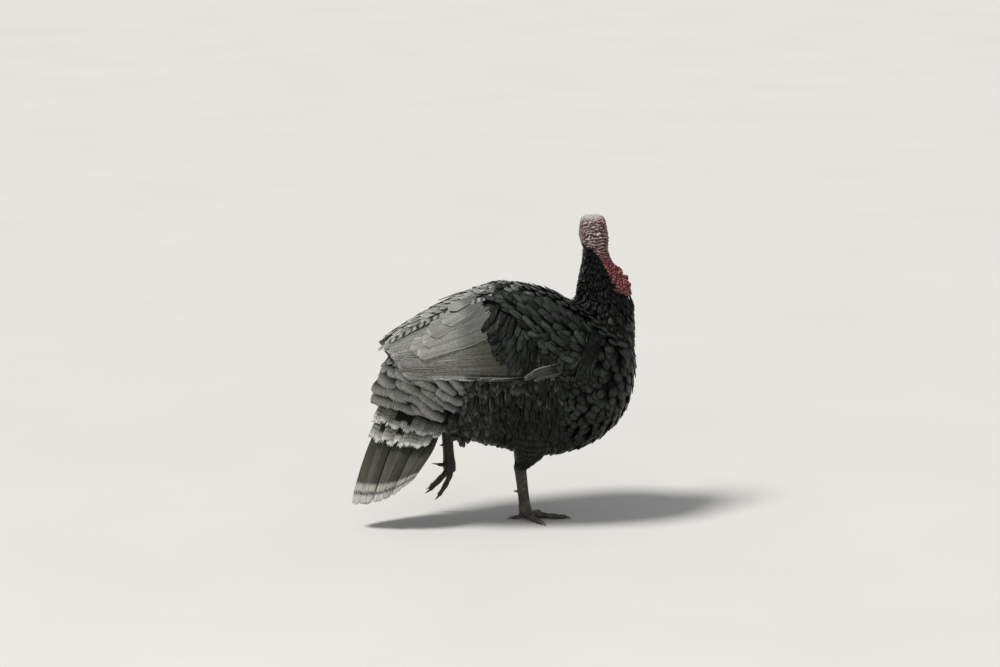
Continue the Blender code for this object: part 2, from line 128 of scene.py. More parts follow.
def signed_power(values, power):
    """Sizes of the values raised to a power, with the values' signs."""
    return np.sign(values) * np.abs(values) ** power


def sway(points, wavelength, seed):
    """Smooth variation, nearly always within -1 to 1: six sine waves in random directions, of
    about this wavelength, added up and divided by 3.2."""
    draw = np.random.default_rng(seed)
    total = 0.0
    for _ in range(6):
        way = unit(draw.normal(size=3)) * 2 * math.pi / wavelength * draw.uniform(0.6, 1.4)
        total = total + np.sin(points @ way + draw.uniform(0, 6.28))
    return total / 3.2


def chance_at(cells, seed):
    """A repeatable number from 0 to 1 for each whole-numbered cell: the fraction of a large sine."""
    mixed = cells @ np.array([127.1, 311.7, 74.7][:cells.shape[-1]]) + seed * 19.19
    return np.modf(np.abs(np.sin(mixed) * 43758.5453))[0]


def pebbles(points, size, seed):
    """Rounded cells, from one jittered seed in each cube of this size: how much further the
    second nearest seed is than the nearest, as a share of the size. It is 0 in the crevices."""
    base = np.floor(points / size)
    near = np.full(len(points), 9.0)
    second = near.copy()
    for step in np.ndindex(3, 3, 3):
        cell = base + np.array(step) - 1
        spot = cell + 0.5 + 0.8 * (np.stack([chance_at(cell, seed + k) for k in range(3)], -1) - 0.5)
        away = np.linalg.norm(points / size - spot, axis=-1)
        second = np.minimum(second, np.maximum(near, away))
        near = np.minimum(near, away)
    return second - near


# --------------------------------------------------------------------------- meshes
def solid(name, points, faces, finish, values=None, tints=None, bake_map=None, flat=None):
    """One piece from points (n, 3) in the stride frame and faces, a list of (count, corners)
    index arrays. values and tints hold per-point attributes, and flat marks unsmoothed faces."""
    mesh = bpy.data.meshes.new(name)
    mesh.vertices.add(len(points))
    mesh.vertices.foreach_set("co", (points + SHIFT).astype(np.float32).ravel())
    corners = np.concatenate([face.ravel() for face in faces]).astype(np.int32)
    sizes = np.concatenate([np.full(len(face), face.shape[1]) for face in faces])
    mesh.loops.add(len(corners))
    mesh.loops.foreach_set("vertex_index", corners)
    mesh.polygons.add(len(sizes))
    first = np.concatenate([[0], np.cumsum(sizes)[:-1]]).astype(np.int32)
    mesh.polygons.foreach_set("loop_start", first)
    smooth = np.ones(len(sizes), bool) if flat is None else ~flat
    mesh.polygons.foreach_set("use_smooth", smooth)
    mesh.update(calc_edges=True)
    for key, value in (values or {}).items():
        mesh.attributes.new(key, "FLOAT", "POINT").data.foreach_set(
            "value", value.astype(np.float32).ravel())
    if tints is not None:
        colour = np.concatenate([tints, np.ones((len(tints), 1))], 1)
        mesh.attributes.new("tint", "FLOAT_COLOR", "POINT").data.foreach_set(
            "color", colour.astype(np.float32).ravel())
    if bake_map is not None:
        layer = mesh.uv_layers.new(name="OFBake")
        layer.uv.foreach_set("vector", bake_map[corners].astype(np.float32).ravel())
    piece = bpy.data.objects.new(name, mesh)
    bpy.context.scene.collection.objects.link(piece)
    mesh.materials.append(finish)
    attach(piece, "root")
    print(f"{name}: {int((sizes - 2).sum())} triangles")
    return piece


def tube_faces(rows, around):
    """Faces of a closed tube of rows rings, with a pole point after the rings at either end."""
    i, j = np.meshgrid(np.arange(rows - 1), np.arange(around), indexing="ij")
    k = (j + 1) % around
    sides = np.stack([i * around + j, i * around + k, (i + 1) * around + k, (i + 1) * around + j], -1)
    ring = np.arange(around)
    after = (ring + 1) % around
    first = np.stack([np.full(around, rows * around), after, ring], -1)
    base = (rows - 1) * around
    last = np.stack([np.full(around, rows * around + 1), base + ring, base + after], -1)
    return [sides.reshape(-1, 4), np.concatenate([first, last])]


def tube(rings, first, last):
    """Points and faces of a closed tube: rings (rows, around, 3) and its two poles."""
    points = np.concatenate([rings.reshape(-1, 3), [first], [last]])
    return points, tube_faces(*rings.shape[:2])


def slab(outer, inner):
    """Points and faces of a closed slab between two grids (rows, columns, 3)."""
    rows, columns = outer.shape[:2]
    under = rows * columns
    i, j = np.meshgrid(np.arange(rows - 1), np.arange(columns - 1), indexing="ij")
    a = (i * columns + j).ravel()
    top = np.stack([a, a + 1, a + 1 + columns, a + columns], -1)
    rim = np.concatenate([np.arange(columns - 1), np.arange(rows - 1) * columns + columns - 1,
                          rows * columns - 1 - np.arange(columns - 1),
                          (rows - 1 - np.arange(rows - 1)) * columns])
    there = np.roll(rim, -1)
    edge = np.stack([there, rim, under + rim, under + there], -1)
    points = np.concatenate([outer.reshape(-1, 3), inner.reshape(-1, 3)])
    return points, [np.concatenate([top, under + top[:, ::-1], edge])]


def facing_out(points, faces):
    """The same faces, turned so that the closed shape's volume is positive."""
    total = 0.0
    for face in faces:
        for k in range(1, face.shape[1] - 1):
            a, b, c = points[face[:, 0]], points[face[:, k]], points[face[:, k + 1]]
            total += np.einsum("ij,ij->", a, np.cross(b, c))
    return faces if total > 0 else [face[:, ::-1] for face in faces]


# --------------------------------------------------------------------------- shader tools
class Value:
    """A number socket. Expressions on Values add Math nodes."""

    def __init__(self, tree, socket):
        self.tree, self.socket = tree, socket

    def maths(self, operation, *others):
        """The operation done on others, each a Value or a number."""
        node = self.tree.nodes.new("ShaderNodeMath")
        node.operation = operation
        for place, item in zip(node.inputs, others):
            if isinstance(item, Value):
                self.tree.links.new(item.socket, place)
            else:
                place.default_value = item
        return Value(self.tree, node.outputs[0])

    def __add__(self, other): return self.maths("ADD", self, other)
    def __radd__(self, other): return self.maths("ADD", other, self)
    def __sub__(self, other): return self.maths("SUBTRACT", self, other)
    def __rsub__(self, other): return self.maths("SUBTRACT", other, self)
    def __mul__(self, other): return self.maths("MULTIPLY", self, other)
    def __rmul__(self, other): return self.maths("MULTIPLY", other, self)
    def __abs__(self): return self.maths("ABSOLUTE", self)
    def most(self, other): return self.maths("MAXIMUM", self, other)
    def least(self, other): return self.maths("MINIMUM", self, other)


class Finish:
    """One material in the making. Values of its sockets are made by its node methods."""

    def __init__(self, name, roughness, specular=0.5, **fixed):
        self.material = bpy.data.materials.new(name)
        self.material.use_nodes = True
        self.tree = self.material.node_tree
        self.shader = self.tree.nodes["Principled BSDF"]
        self.shader.inputs["Roughness"].default_value = roughness
        self.shader.inputs["Specular IOR Level"].default_value = specular
        for key, value in fixed.items():
            self.shader.inputs[key.replace("_", " ")].default_value = value

    def node(self, kind, settings=None, inputs=None, output=0):
        """A node of this kind: its settings first, then the values or links of its sockets."""
        made = self.tree.nodes.new(kind)
        for key, value in (settings or {}).items():
            setattr(made, key, value)
        for key, value in (inputs or {}).items():
            if isinstance(value, Value):
                self.tree.links.new(value.socket, made.inputs[key])
            else:
                made.inputs[key].default_value = value
        return Value(self.tree, made.outputs[output])

    def attribute(self, name, output="Fac"):
        """A number, or with output "Color" a colour, kept at the mesh's points."""
        return self.node("ShaderNodeAttribute", {"attribute_name": name}, output=output)

    def place(self):
        """Where a point is, in the piece's own space."""
        return self.node("ShaderNodeTexCoord", output="Object")

    def noise(self, scale, detail):
        """Noise in space."""
        return self.node("ShaderNodeTexNoise", None,
                         {"Scale": scale, "Detail": detail, "Vector": self.place()})

    def lines(self, along, detail):
        """Noise that changes only with the number along."""
        return self.node("ShaderNodeTexNoise", {"noise_dimensions": "1D"},
                         {"Scale": 1.0, "Detail": detail, "W": along})

    def cells(self, scale):
        """Distance to the nearest of scattered seeds, about scale of them to the metre."""
        return self.node("ShaderNodeTexVoronoi", {"feature": "F1"},
                         {"Vector": self.place(), "Scale": scale})

    def steps(self, value, low, high):
        """value carried smoothly from 0 at low to 1 at high."""
        return self.node("ShaderNodeMapRange", {"interpolation_type": "SMOOTHSTEP"},
                         {0: value, 1: low, 2: high, 3: 0.0, 4: 1.0})

    def mix(self, share, first, second):
        """The first colour plus a share of its difference to the second."""
        colours = [item if isinstance(item, Value) else (*item, 1.0) for item in (first, second)]
        return self.node("ShaderNodeMix", {"data_type": "RGBA"}, {0: share, 6: colours[0], 7: colours[1]}, 2)

    def scaled(self, colour, share):
        """The colour, times a number."""
        return self.node("ShaderNodeVectorMath", {"operation": "SCALE"}, {0: colour, 3: share})

    def done(self, colour, roughness=None, height=None, depth=0.001, strength=0.6):
        """Links colour, and roughness and bump where given, to the shader."""
        links = {"Base Color": colour, "Roughness": roughness}
        if height is not None:
            links["Normal"] = self.node("ShaderNodeBump", None,
                                        {"Strength": strength, "Distance": depth, "Height": height})
        for key, value in links.items():
            if value is not None:
                self.tree.links.new(value.socket, self.shader.inputs[key])
        return self.material


def plumage_finish(name, contrast, gloss, specular):
    """Feather vanes: the tint, streaked along the barbs, with a fine shaft down the middle.
    contrast is how strong the streaks are. Single barbs come about 900 to the metre of vane,
    clumps of them 210, and strands run from the shaft outwards and back. Where "bars" is over
    0, curled strands leave dark gaps."""
    make = Finish(name, 0.6, specular)
    barb, along, chance = (make.attribute(key) for key in ("barb", "along", "chance"))
    fine = make.lines(barb * 900 + chance * 70, 1.0)
    clump = make.lines(barb * 210 + chance * 31, 2.0)
    blotch = make.noise(55.0, 3.0)
    shaft = 1 - make.steps(abs(make.attribute("vane_u")), 0.02, 0.07)
    strand = make.lines((along - barb) * 260 + chance * 41 + along * 16 + blotch * 3.2, 2.0)
    curls = make.steps(make.lines(barb * 90 + blotch * 17 + chance * 17, 1.0), 0.53, 0.66)
    light = (1 + (fine - 0.5) * (0.4 * contrast) + (clump - 0.5) * (0.6 * contrast)
             + (blotch - 0.5) * 0.35 + (strand - 0.5) * (1.5 * contrast))
    light = light * (1 - curls * make.attribute("bars") * 0.50)
    colour = make.scaled(make.attribute("tint", "Color"), light + shaft * 0.18)
    rough = gloss + (clump - 0.5) * 0.25
    return make.done(colour, rough, fine * 0.7 + clump * 0.5 + strand * 0.9 + shaft * 0.6, 0.0010, 0.55)


def skin_finish():
    """Bare skin: the tint, mottled, with fine pores and creases."""
    make = Finish("bare_skin", 0.46, specular=0.42)
    mottle = make.noise(140.0, 4.0)
    veins = make.noise(45.0, 3.0)
    pores = make.cells(1100.0)
    light = 0.78 + mottle * 0.28 + veins * 0.20
    colour = make.scaled(make.attribute("tint", "Color"), light)
    rough = 0.36 + mottle * 0.22 + (1 - make.attribute("shine")) * 0.4
    return make.done(colour, rough, mottle * 0.6 + pores * 0.5, 0.0008, 0.5)


def horn_finish(name, dark, pale):
    """Horn with growth lines across it, streaked and worn paler towards its end, and darkened in its pits by
    painted shade.
    """
    make = Finish(name, 0.34, specular=0.5)
    along = make.attribute("along")
    growth = make.lines(along * 26, 2.0)
    wear = make.noise(170.0, 4.0)
    share = (along * 0.9 + growth * 0.45 + wear * 0.5 - 0.55).most(0.0).least(1.0)
    colour = make.scaled(make.mix(share, dark, pale), 1 - make.attribute("pit") * 0.85)
    return make.done(colour, 0.26 + wear * 0.3, growth + wear * 0.6, 0.0006, 0.6)


def eye_finish():
    """A dark brown iris with fine spokes round a black pupil, under a wet clear coat."""
    make = Finish("eye", 0.06, specular=0.2, Coat_Weight=0.6, Coat_Roughness=0.02)
    out = make.attribute("ring")
    spokes = make.lines(make.attribute("turn") * 9, 2.0)
    iris = make.mix(spokes, srgb(30, 16, 9), srgb(74, 42, 21))
    rim = make.mix(make.steps(out, 0.60, 0.78), iris, srgb(16, 9, 6))
    return make.done(make.mix(1 - make.steps(out, 0.30, 0.36), rim, (0.002, 0.002, 0.002)))


def floor_finish():
    """A pale floor, faintly cloudy and rough."""
    make = Finish("pale_floor", 0.85, specular=0.2)
    cloud = make.noise(1.3, 3.0)
    return make.done(make.mix(cloud, srgb(206, 204, 199), srgb(214, 212, 208)), None,
                     make.noise(260.0, 2.0), 0.0004, 0.15)


# --------------------------------------------------------------------------- body surfaces
def arc(x, peak, front, rear, power_front, power_rear):
    """Superellipse arc along x: 1 at the peak and 0 at either end. The share of the way to an
    end and the arc's height, each raised to that side's power, add up to 1."""
    ahead = np.clip((x - peak) / (front - peak), 0, 1)
    behind = np.clip((peak - x) / (peak - rear), 0, 1)
    return np.where(x > peak, (1 - ahead**power_front) ** (1 / power_front),
                    (1 - behind**power_rear) ** (1 / power_rear))


def outline(x, extreme, power_front, power_rear):
    """Height of the back or belly line: arcs from either pole to the extreme x, z."""
    reach = arc(x, extreme[0], BREAST[0], RUMP[0], power_front, power_rear)
    pole = np.where(x > extreme[0], BREAST[1], RUMP[1])
    return pole + (extreme[1] - pole) * reach


def trunk_section(x):
    """Middle height, rise, drop and half width of the trunk at x. The middle runs straight from
    pole to pole, and the others are arcs."""
    middle = RUMP[1] + (BREAST[1] - RUMP[1]) * (x - RUMP[0]) / (BREAST[0] - RUMP[0])
    rise = outline(x, BACK, 1.7, 1.45) - middle
    drop = middle - outline(x, BELLY, 2.4, 1.12)
    return middle, rise, drop, FLANK_HALF * arc(x, FLANK_X, BREAST[0], RUMP[0], 2.6, 1.8)


NECK_STATIONS = [           # z, x of the middle, half length and half width
    (0.470, 0.198, 0.114, 0.118), (0.520, 0.206, 0.107, 0.106), (0.570, 0.219, 0.094, 0.086),
    (0.615, 0.233, 0.079, 0.067), (0.643, 0.231, 0.075, 0.059), (0.672, 0.227, 0.067, 0.051),
    (0.701, 0.217, 0.052, 0.044), (0.730, 0.211, 0.040, 0.038), (NECK_TOP, HEAD_X, 0.0345, 0.0355)]


def neck(down, turn):
    """The neck, an ellipse at each level. turn goes round it in whole turns from its front
    towards the bird's left, and down is how far a place lies below the neck's top."""
    z = NECK_TOP - np.asarray(down, float)
    middle, along_x, along_y = np.moveaxis(through(NECK_STATIONS, z), -1, 0)
    angle = 2 * math.pi * turn
    return np.stack([middle + along_x * np.cos(angle), along_y * np.sin(angle), z], -1)


def inside_body(place):
    """Whether places lie in the trunk or the lower neck. In the trunk the shares of the way out
    to its side and up to its line, each raised to TRUNK_POWER, add up to less than 1."""
    x, y, z = np.moveaxis(place, -1, 0)
    held = np.clip(x, RUMP[0] + 1e-5, BREAST[0] - 1e-5)
    middle, rise, drop, half = trunk_section(held)
    tall = np.where(z > middle, rise, drop)
    ratio = np.abs(y / half) ** TRUNK_POWER + np.abs((z - middle) / tall) ** TRUNK_POWER
    in_trunk = (ratio < 1) & (x > RUMP[0]) & (x < BREAST[0])
    at, along_x, along_y = np.moveaxis(through(NECK_STATIONS, z), -1, 0)
    in_neck = (((x - at) / along_x) ** 2 + (y / along_y) ** 2 < 1) & (z > 0.47) & (z < 0.70)
    return in_trunk | in_neck


HEART = np.array([-0.02, 0.0, 0.40])           # the middle that trunk places are reached from
LIE_START = unit([0.235, 0.0, 0.262])          # towards the neck, where the feathers' lie begins
LIE_FRONT = np.array([LIE_START[2], 0.0, -LIE_START[0]])


def trunk(fall, turn):
    """The trunk as seen from its heart. fall is the angle away from the neck, in radians, and
    turn goes round that direction in whole turns, 0 at the breast and 0.5 at the back. The
    distance is found by halving."""
    fall, turn = np.broadcast_arrays(np.asarray(fall, float), 2 * math.pi * np.asarray(turn, float))
    way = (LIE_START * np.cos(fall)[..., None] + LIE_FRONT * (np.sin(fall) * np.cos(turn))[..., None]
           + np.array([0.0, 1.0, 0.0]) * (np.sin(fall) * np.sin(turn))[..., None])
    near, far = np.full(fall.shape, 0.02), np.full(fall.shape, 0.60)
    for _ in range(19):
        middle = (near + far) / 2
        inside = inside_body(HEART + way * middle[..., None])
        near, far = np.where(inside, middle, near), np.where(inside, far, middle)
    return HEART + way * near[..., None]


def wing_lines(s):
    """Per place along the folded wing: x, top line, half width, and its lower and upper edges."""
    s = np.clip(s, -0.05, 1.06)
    x = WING_FRONT - (WING_FRONT - WING_REAR) * s
    top = 0.475 + (BACK[1] + 0.004 - 0.475) * arc(x, BACK[0], BREAST[0], -0.450, 1.7, 1.18)
    half = FLANK_HALF * arc(x, FLANK_X, BREAST[0], -0.440, 2.6, 1.9)
    low = through([(0, 0.540), (0.06, 0.487), (0.13, 0.452), (0.28, 0.437), (0.70, 0.443),
                   (0.92, 0.455), (1, 0.474)], s)[..., 0]
    share = through([(0, 0.62), (0.1, 0.80), (0.3, 0.93), (0.5, 0.968), (0.9, 0.968), (1, 0.95)], s)[..., 0]
    return x, top, half, low, WING_MIDDLE + (top - WING_MIDDLE) * share


def wing(s, v):
    """Outer side of the folded right wing: s runs from shoulder to tips, v from the lower edge
    to the upper one. It follows a trunk-like superellipse, but stands out from it by 24 mm at
    the shoulder and 12 mm at the tips, and by less near its four edges."""
    s, v = np.broadcast_arrays(np.asarray(s, float), np.asarray(v, float))
    x, top, half, low, high = wing_lines(s)
    held = np.clip(s, 0, 1)
    z = low + (high - low) * v
    edge = np.clip(1 - np.abs(2 * v - 1) ** 5, 0, 1) * (1 - held**9) * (1 - (1 - held) ** 12)
    rise = np.clip(np.abs(z - WING_MIDDLE) / (top - WING_MIDDLE), 0, 0.98)
    y = (half + (0.024 - 0.012 * held) * edge + 0.002) * (1 - rise**TRUNK_POWER) ** (1 / TRUNK_POWER)
    return np.stack([x, -y, z + 0.004 * edge], -1)


def tail(s, across):
    """The tail's tent: s from root to tip, across from -1 at the right edge through 0 at the
    ridge to 1 at the left edge. It runs straight from root to tip, plus a bow that is a
    parabola in s."""
    s, across = np.broadcast_arrays(np.asarray(s, float), np.asarray(across, float))
    share, side = np.abs(across), np.sign(across)
    root = np.stack([-0.385 + 0.150 * share, side * 0.062 * share**0.8, 0.345 - 0.060 * share], -1)
    tip = np.stack([TAIL_TIP_X + 0.137 * share, side * TAIL_SPREAD * share**0.75,
                    TAIL_TIP_Z + 0.068 * share**2.2], -1)
    bow = np.stack([-0.010 * (1 - share), side * 0.012 * share, 0 * share], -1)
    return root + (tip - root) * s[..., None] + bow * (4 * s * (1 - s))[..., None]


def rump(down, across):
    """Hoops round the root of the tail, down from 0 at the top one to 1 at the lowest. across
    runs from -1, the right end, through 0 at the rear to 1, the left end. It is a quarter turn
    a side: a place goes ahead by one less its cosine, and out by its sine to the power 0.85."""
    down, across = np.broadcast_arrays(np.asarray(down, float), np.asarray(across, float))
    rear_x, rear_z, ahead_x, ahead_z, half = np.moveaxis(through(
        [(-0.3, -0.335, 0.490, -0.060, 0.420, 0.135), (0.0, -0.374, 0.452, -0.080, 0.392, 0.128),
         (0.25, -0.399, 0.412, -0.105, 0.358, 0.120), (0.5, -0.408, 0.368, -0.135, 0.322, 0.110),
         (0.75, -0.413, 0.322, -0.165, 0.284, 0.100), (1.0, -0.422, 0.276, -0.200, 0.246, 0.090),
         (1.4, -0.440, 0.205, -0.240, 0.190, 0.086)], down), -1, 0)
    angle = np.abs(across) * math.pi / 2
    ahead = 1 - np.cos(angle)
    wide = half * np.sin(angle) ** 0.85 + 0.022 * ease(0.45, 0.95, np.abs(across))
    return np.stack([rear_x + (ahead_x - rear_x) * ahead, np.sign(across) * wide,
                     rear_z + (ahead_z - rear_z) * ahead], -1)


def flank(down, ahead):
    """The trunk's right side below the wing, down metres under the height of 0.46, at x = ahead.
    Its section is the trunk's superellipse."""
    down, ahead = np.broadcast_arrays(np.asarray(down, float), np.asarray(ahead, float))
    middle, rise, drop, half = trunk_section(ahead)
    z = 0.46 - down
    share = np.clip(np.abs(z - middle) / np.where(z > middle, rise, drop), 0, 0.985)
    return np.stack([ahead, -half * (1 - share**TRUNK_POWER) ** (1 / TRUNK_POWER), z], -1)


def back(s, across):
    """The low roof between the wings' upper edges: s as on the wing, across from -1 at the right
    edge to 1 at the left one. It is a parabola 10 mm high that droops at its rear end."""
    s, across = np.broadcast_arrays(np.asarray(s, float), np.asarray(across, float))
    x, _, _, _, high = wing_lines(s)
    droop = 0.035 * ease(0.84, 1.06, s)
    return np.stack([x, 0.046 * across, high - 0.004 + 0.010 * (1 - across**2) - droop], -1)


def limb_line(stations, t, up):
    """Path, sideways and upward directions, half width and half height of a limb at t."""
    read = through(stations, t)
    after, before = (through(stations, np.asarray(t) + step)[..., :3] for step in (1e-3, -1e-3))
    along = unit(after - before)
    side = unit(np.cross(along, np.asarray(up, float)))
    return read[..., :3], side, np.cross(side, along), read[..., 3], read[..., 4], along


def limb(stations, steps, points, up, floor=None):
    """Closed limb: ellipses of the stations' half width and half height carried along their
    path, with rounded ends, and no place below floor."""
    t = np.linspace(stations[0][0], stations[-1][0], steps)
    path, side, above, wide, tall, along = limb_line(stations, t, up)
    angle = np.linspace(0, 2 * math.pi, points, endpoint=False)
    rings = (path[:, None] + side[:, None] * (wide[:, None] * np.cos(angle))[..., None]
             + above[:, None] * (tall[:, None] * np.sin(angle))[..., None])
    ends = np.array([path[0] - along[0] * tall[0] * 0.7, path[-1] + along[-1] * tall[-1] * 0.7])
    if floor is not None:
        rings[..., 2] = np.maximum(rings[..., 2], floor)
        ends[:, 2] = np.maximum(ends[:, 2], floor)
    points, faces = tube(rings, *ends)
    return points, facing_out(points, faces)


THIGH = {"right": [(0, 0.020, -0.090, 0.340, 0.056, 0.085), (1, 0.012, -0.090, 0.280, 0.054, 0.078),
                   (2, 0.006, -0.070, 0.222, 0.040, 0.050), (3, -0.004, -0.048, 0.182, 0.024, 0.028),
                   (4, -0.014, -0.035, 0.157, 0.0185, 0.0215)],
         "left": [(0, -0.030, 0.090, 0.350, 0.050, 0.080), (1, -0.085, 0.098, 0.332, 0.046, 0.066),
                  (2, -0.135, 0.097, 0.312, 0.035, 0.044), (3, -0.176, 0.092, 0.298, 0.023, 0.027),
                  (4, -0.201, 0.090, 0.292, 0.0185, 0.0195)]}
THIGH_UP = {"right": (1, 0, 0), "left": (0.3, 0, 1)}


def thigh_surface(side):
    """Surface of a thigh: t along its stations, turn round it in whole turns."""
    def surface(t, turn):
        path, across, above, wide, tall, _ = limb_line(THIGH[side], t, THIGH_UP[side])
        angle = 2 * math.pi * np.asarray(turn)
        return (path + across * (wide * np.cos(angle))[..., None]
                + above * (tall * np.sin(angle))[..., None])
    return surface


def shank_stations(side):
    """A knuckle at the hock, a waist, and the broad pad where the toes meet."""
    hock, foot, r = np.array(HOCK[side]), np.array(FOOT[side]), SHANK_RADIUS
    girth = [(-0.06, 0.84, 0.92), (0.0, 0.93, 1.12), (0.15, 0.92, 1.08), (0.5, 0.90, 1.02),
             (0.85, 0.98, 1.05), (1.0, 1.20, 1.18), (1.12, 1.16, 1.12)]
    return [(t, *(hock + (foot - hock) * t), r * wide, r * tall) for t, wide, tall in girth]


def toe_paths(side):
    """Per toe: its name, four places from root to end, root radius, claw tip and the way up."""
    made = []
    if side == "right":
        start = np.array([FOOT["right"][0], FOOT["right"][1], 0.0])
        for name, length, heading, radius, claw in (("middle", 0.112, -11, 0.0108, 0.016),
                                                    ("inner", 0.078, 49, 0.0098, 0.016),
                                                    ("outer", 0.082, -66, 0.0098, 0.016),
                                                    ("rear", 0.038, 171, 0.0075, 0.013)):
            ahead = np.array([math.cos(math.radians(heading)), math.sin(math.radians(heading)), 0.0])
            rest = radius * TOE_REST
            line = [(0.004, 0.013), (length * 0.40, rest + radius * 0.3), (length * 0.72, rest),
                    (length, rest * 0.72)]
            path = [start + ahead * out + [0, 0, high] for out, high in line]
            tip = start + ahead * (length + claw)
            tip[2] = radius * 0.04
            made.append((name, path, radius, path[3] - ahead * 0.006 + [0, 0, 0.0016], tip, (0, 0, 1)))
        return made
    start = np.asarray(FOOT["left"])
    for name, reach, bow, radius in (("middle", (-0.030, 0.000, -0.086), 0.012, 0.0105),
                                     ("inner", (-0.060, -0.026, -0.062), 0.010, 0.0095),
                                     ("outer", (-0.046, 0.032, -0.066), 0.010, 0.0095),
                                     ("rear", (-0.034, -0.004, 0.004), -0.003, 0.0075)):
        reach = np.asarray(reach)
        out = np.array([1.0, 0.0, 0.25]) * bow
        path = [start + reach * 0.05, start + reach * 0.38 + out,
                start + reach * 0.70 + out * 0.8, start + reach]
        ahead = unit(path[3] - path[2])
        made.append((name, path, radius, path[3] - ahead * 0.005, path[3] + ahead * 0.015 + [-0.003, 0, 0],
                     (1, 0.12, 0.1)))
    return made


def toe_stations(path, radius, steps=24):
    """A toe that loses 13 % of its root radius in each third, with a cosine ripple for pads."""
    t = np.linspace(0, 3, steps)
    line = through([(i, *p) for i, p in enumerate(path)], t)
    width = radius * (1 - 0.13 * t) * (1 + 0.09 * np.cos(2 * math.pi * t))
    return [(t[i], *line[i], width[i], width[i] * 0.92) for i in range(steps)]


# --------------------------------------------------------------------------- feather vanes
NARROW = (-1.0, -0.55, 0.0, 0.55, 1.0)                       # columns of a small vane
BROAD = (-1.0, -0.82, -0.6, -0.4, -0.2, 0.0, 0.2, 0.4, 0.6, 0.82, 1.0)   # and of a quill
ROLLED = (-1.0, -0.86, -0.6, -0.3, 0.0, 0.3, 0.6, 0.86, 1.0)             # and of a thick roll
OUTWARD = {trunk: 1, neck: 1, flank: 1, wing: -1, tail: -1, rump: -1, back: -1}   # normals' signs
PATCH = 0.003                                                # width of a small vane's baking patch


def partials(surface, a, b, step=2e-3):
    """The surface's two rates of change at a, b, from places a step to either side."""
    return ((surface(a + step, b) - surface(a - step, b)) / (2 * step),
            (surface(a, b + step) - surface(a, b - step)) / (2 * step))


def rows_on(surface, starts, gap, ends=(0.0, 1.0), seed=0, stray=0.12):
    """Roots in staggered rows: a row at each first number in starts, and the roots along it gap
    apart, where gap may be one width or one for each row. stray is the random part of it."""
    draw = np.random.default_rng(seed)
    made = []
    for k, (a, wide) in enumerate(zip(starts, np.broadcast_to(gap, len(starts)))):
        b = np.linspace(*ends, 500)
        line = surface(np.full(500, a), b)
        run = np.concatenate([[0], np.cumsum(np.linalg.norm(np.diff(line, axis=0), axis=1))])
        count = max(int(round(run[-1] / wide)), 3)
        at = np.arange(count) + 0.25 + 0.5 * (k % 2) + stray * draw.uniform(-1, 1, count)
        at = at / count * run[-1]
        made.append(np.stack([np.full(count, a), np.interp(at, run, b)], 1))
    return np.concatenate(made)


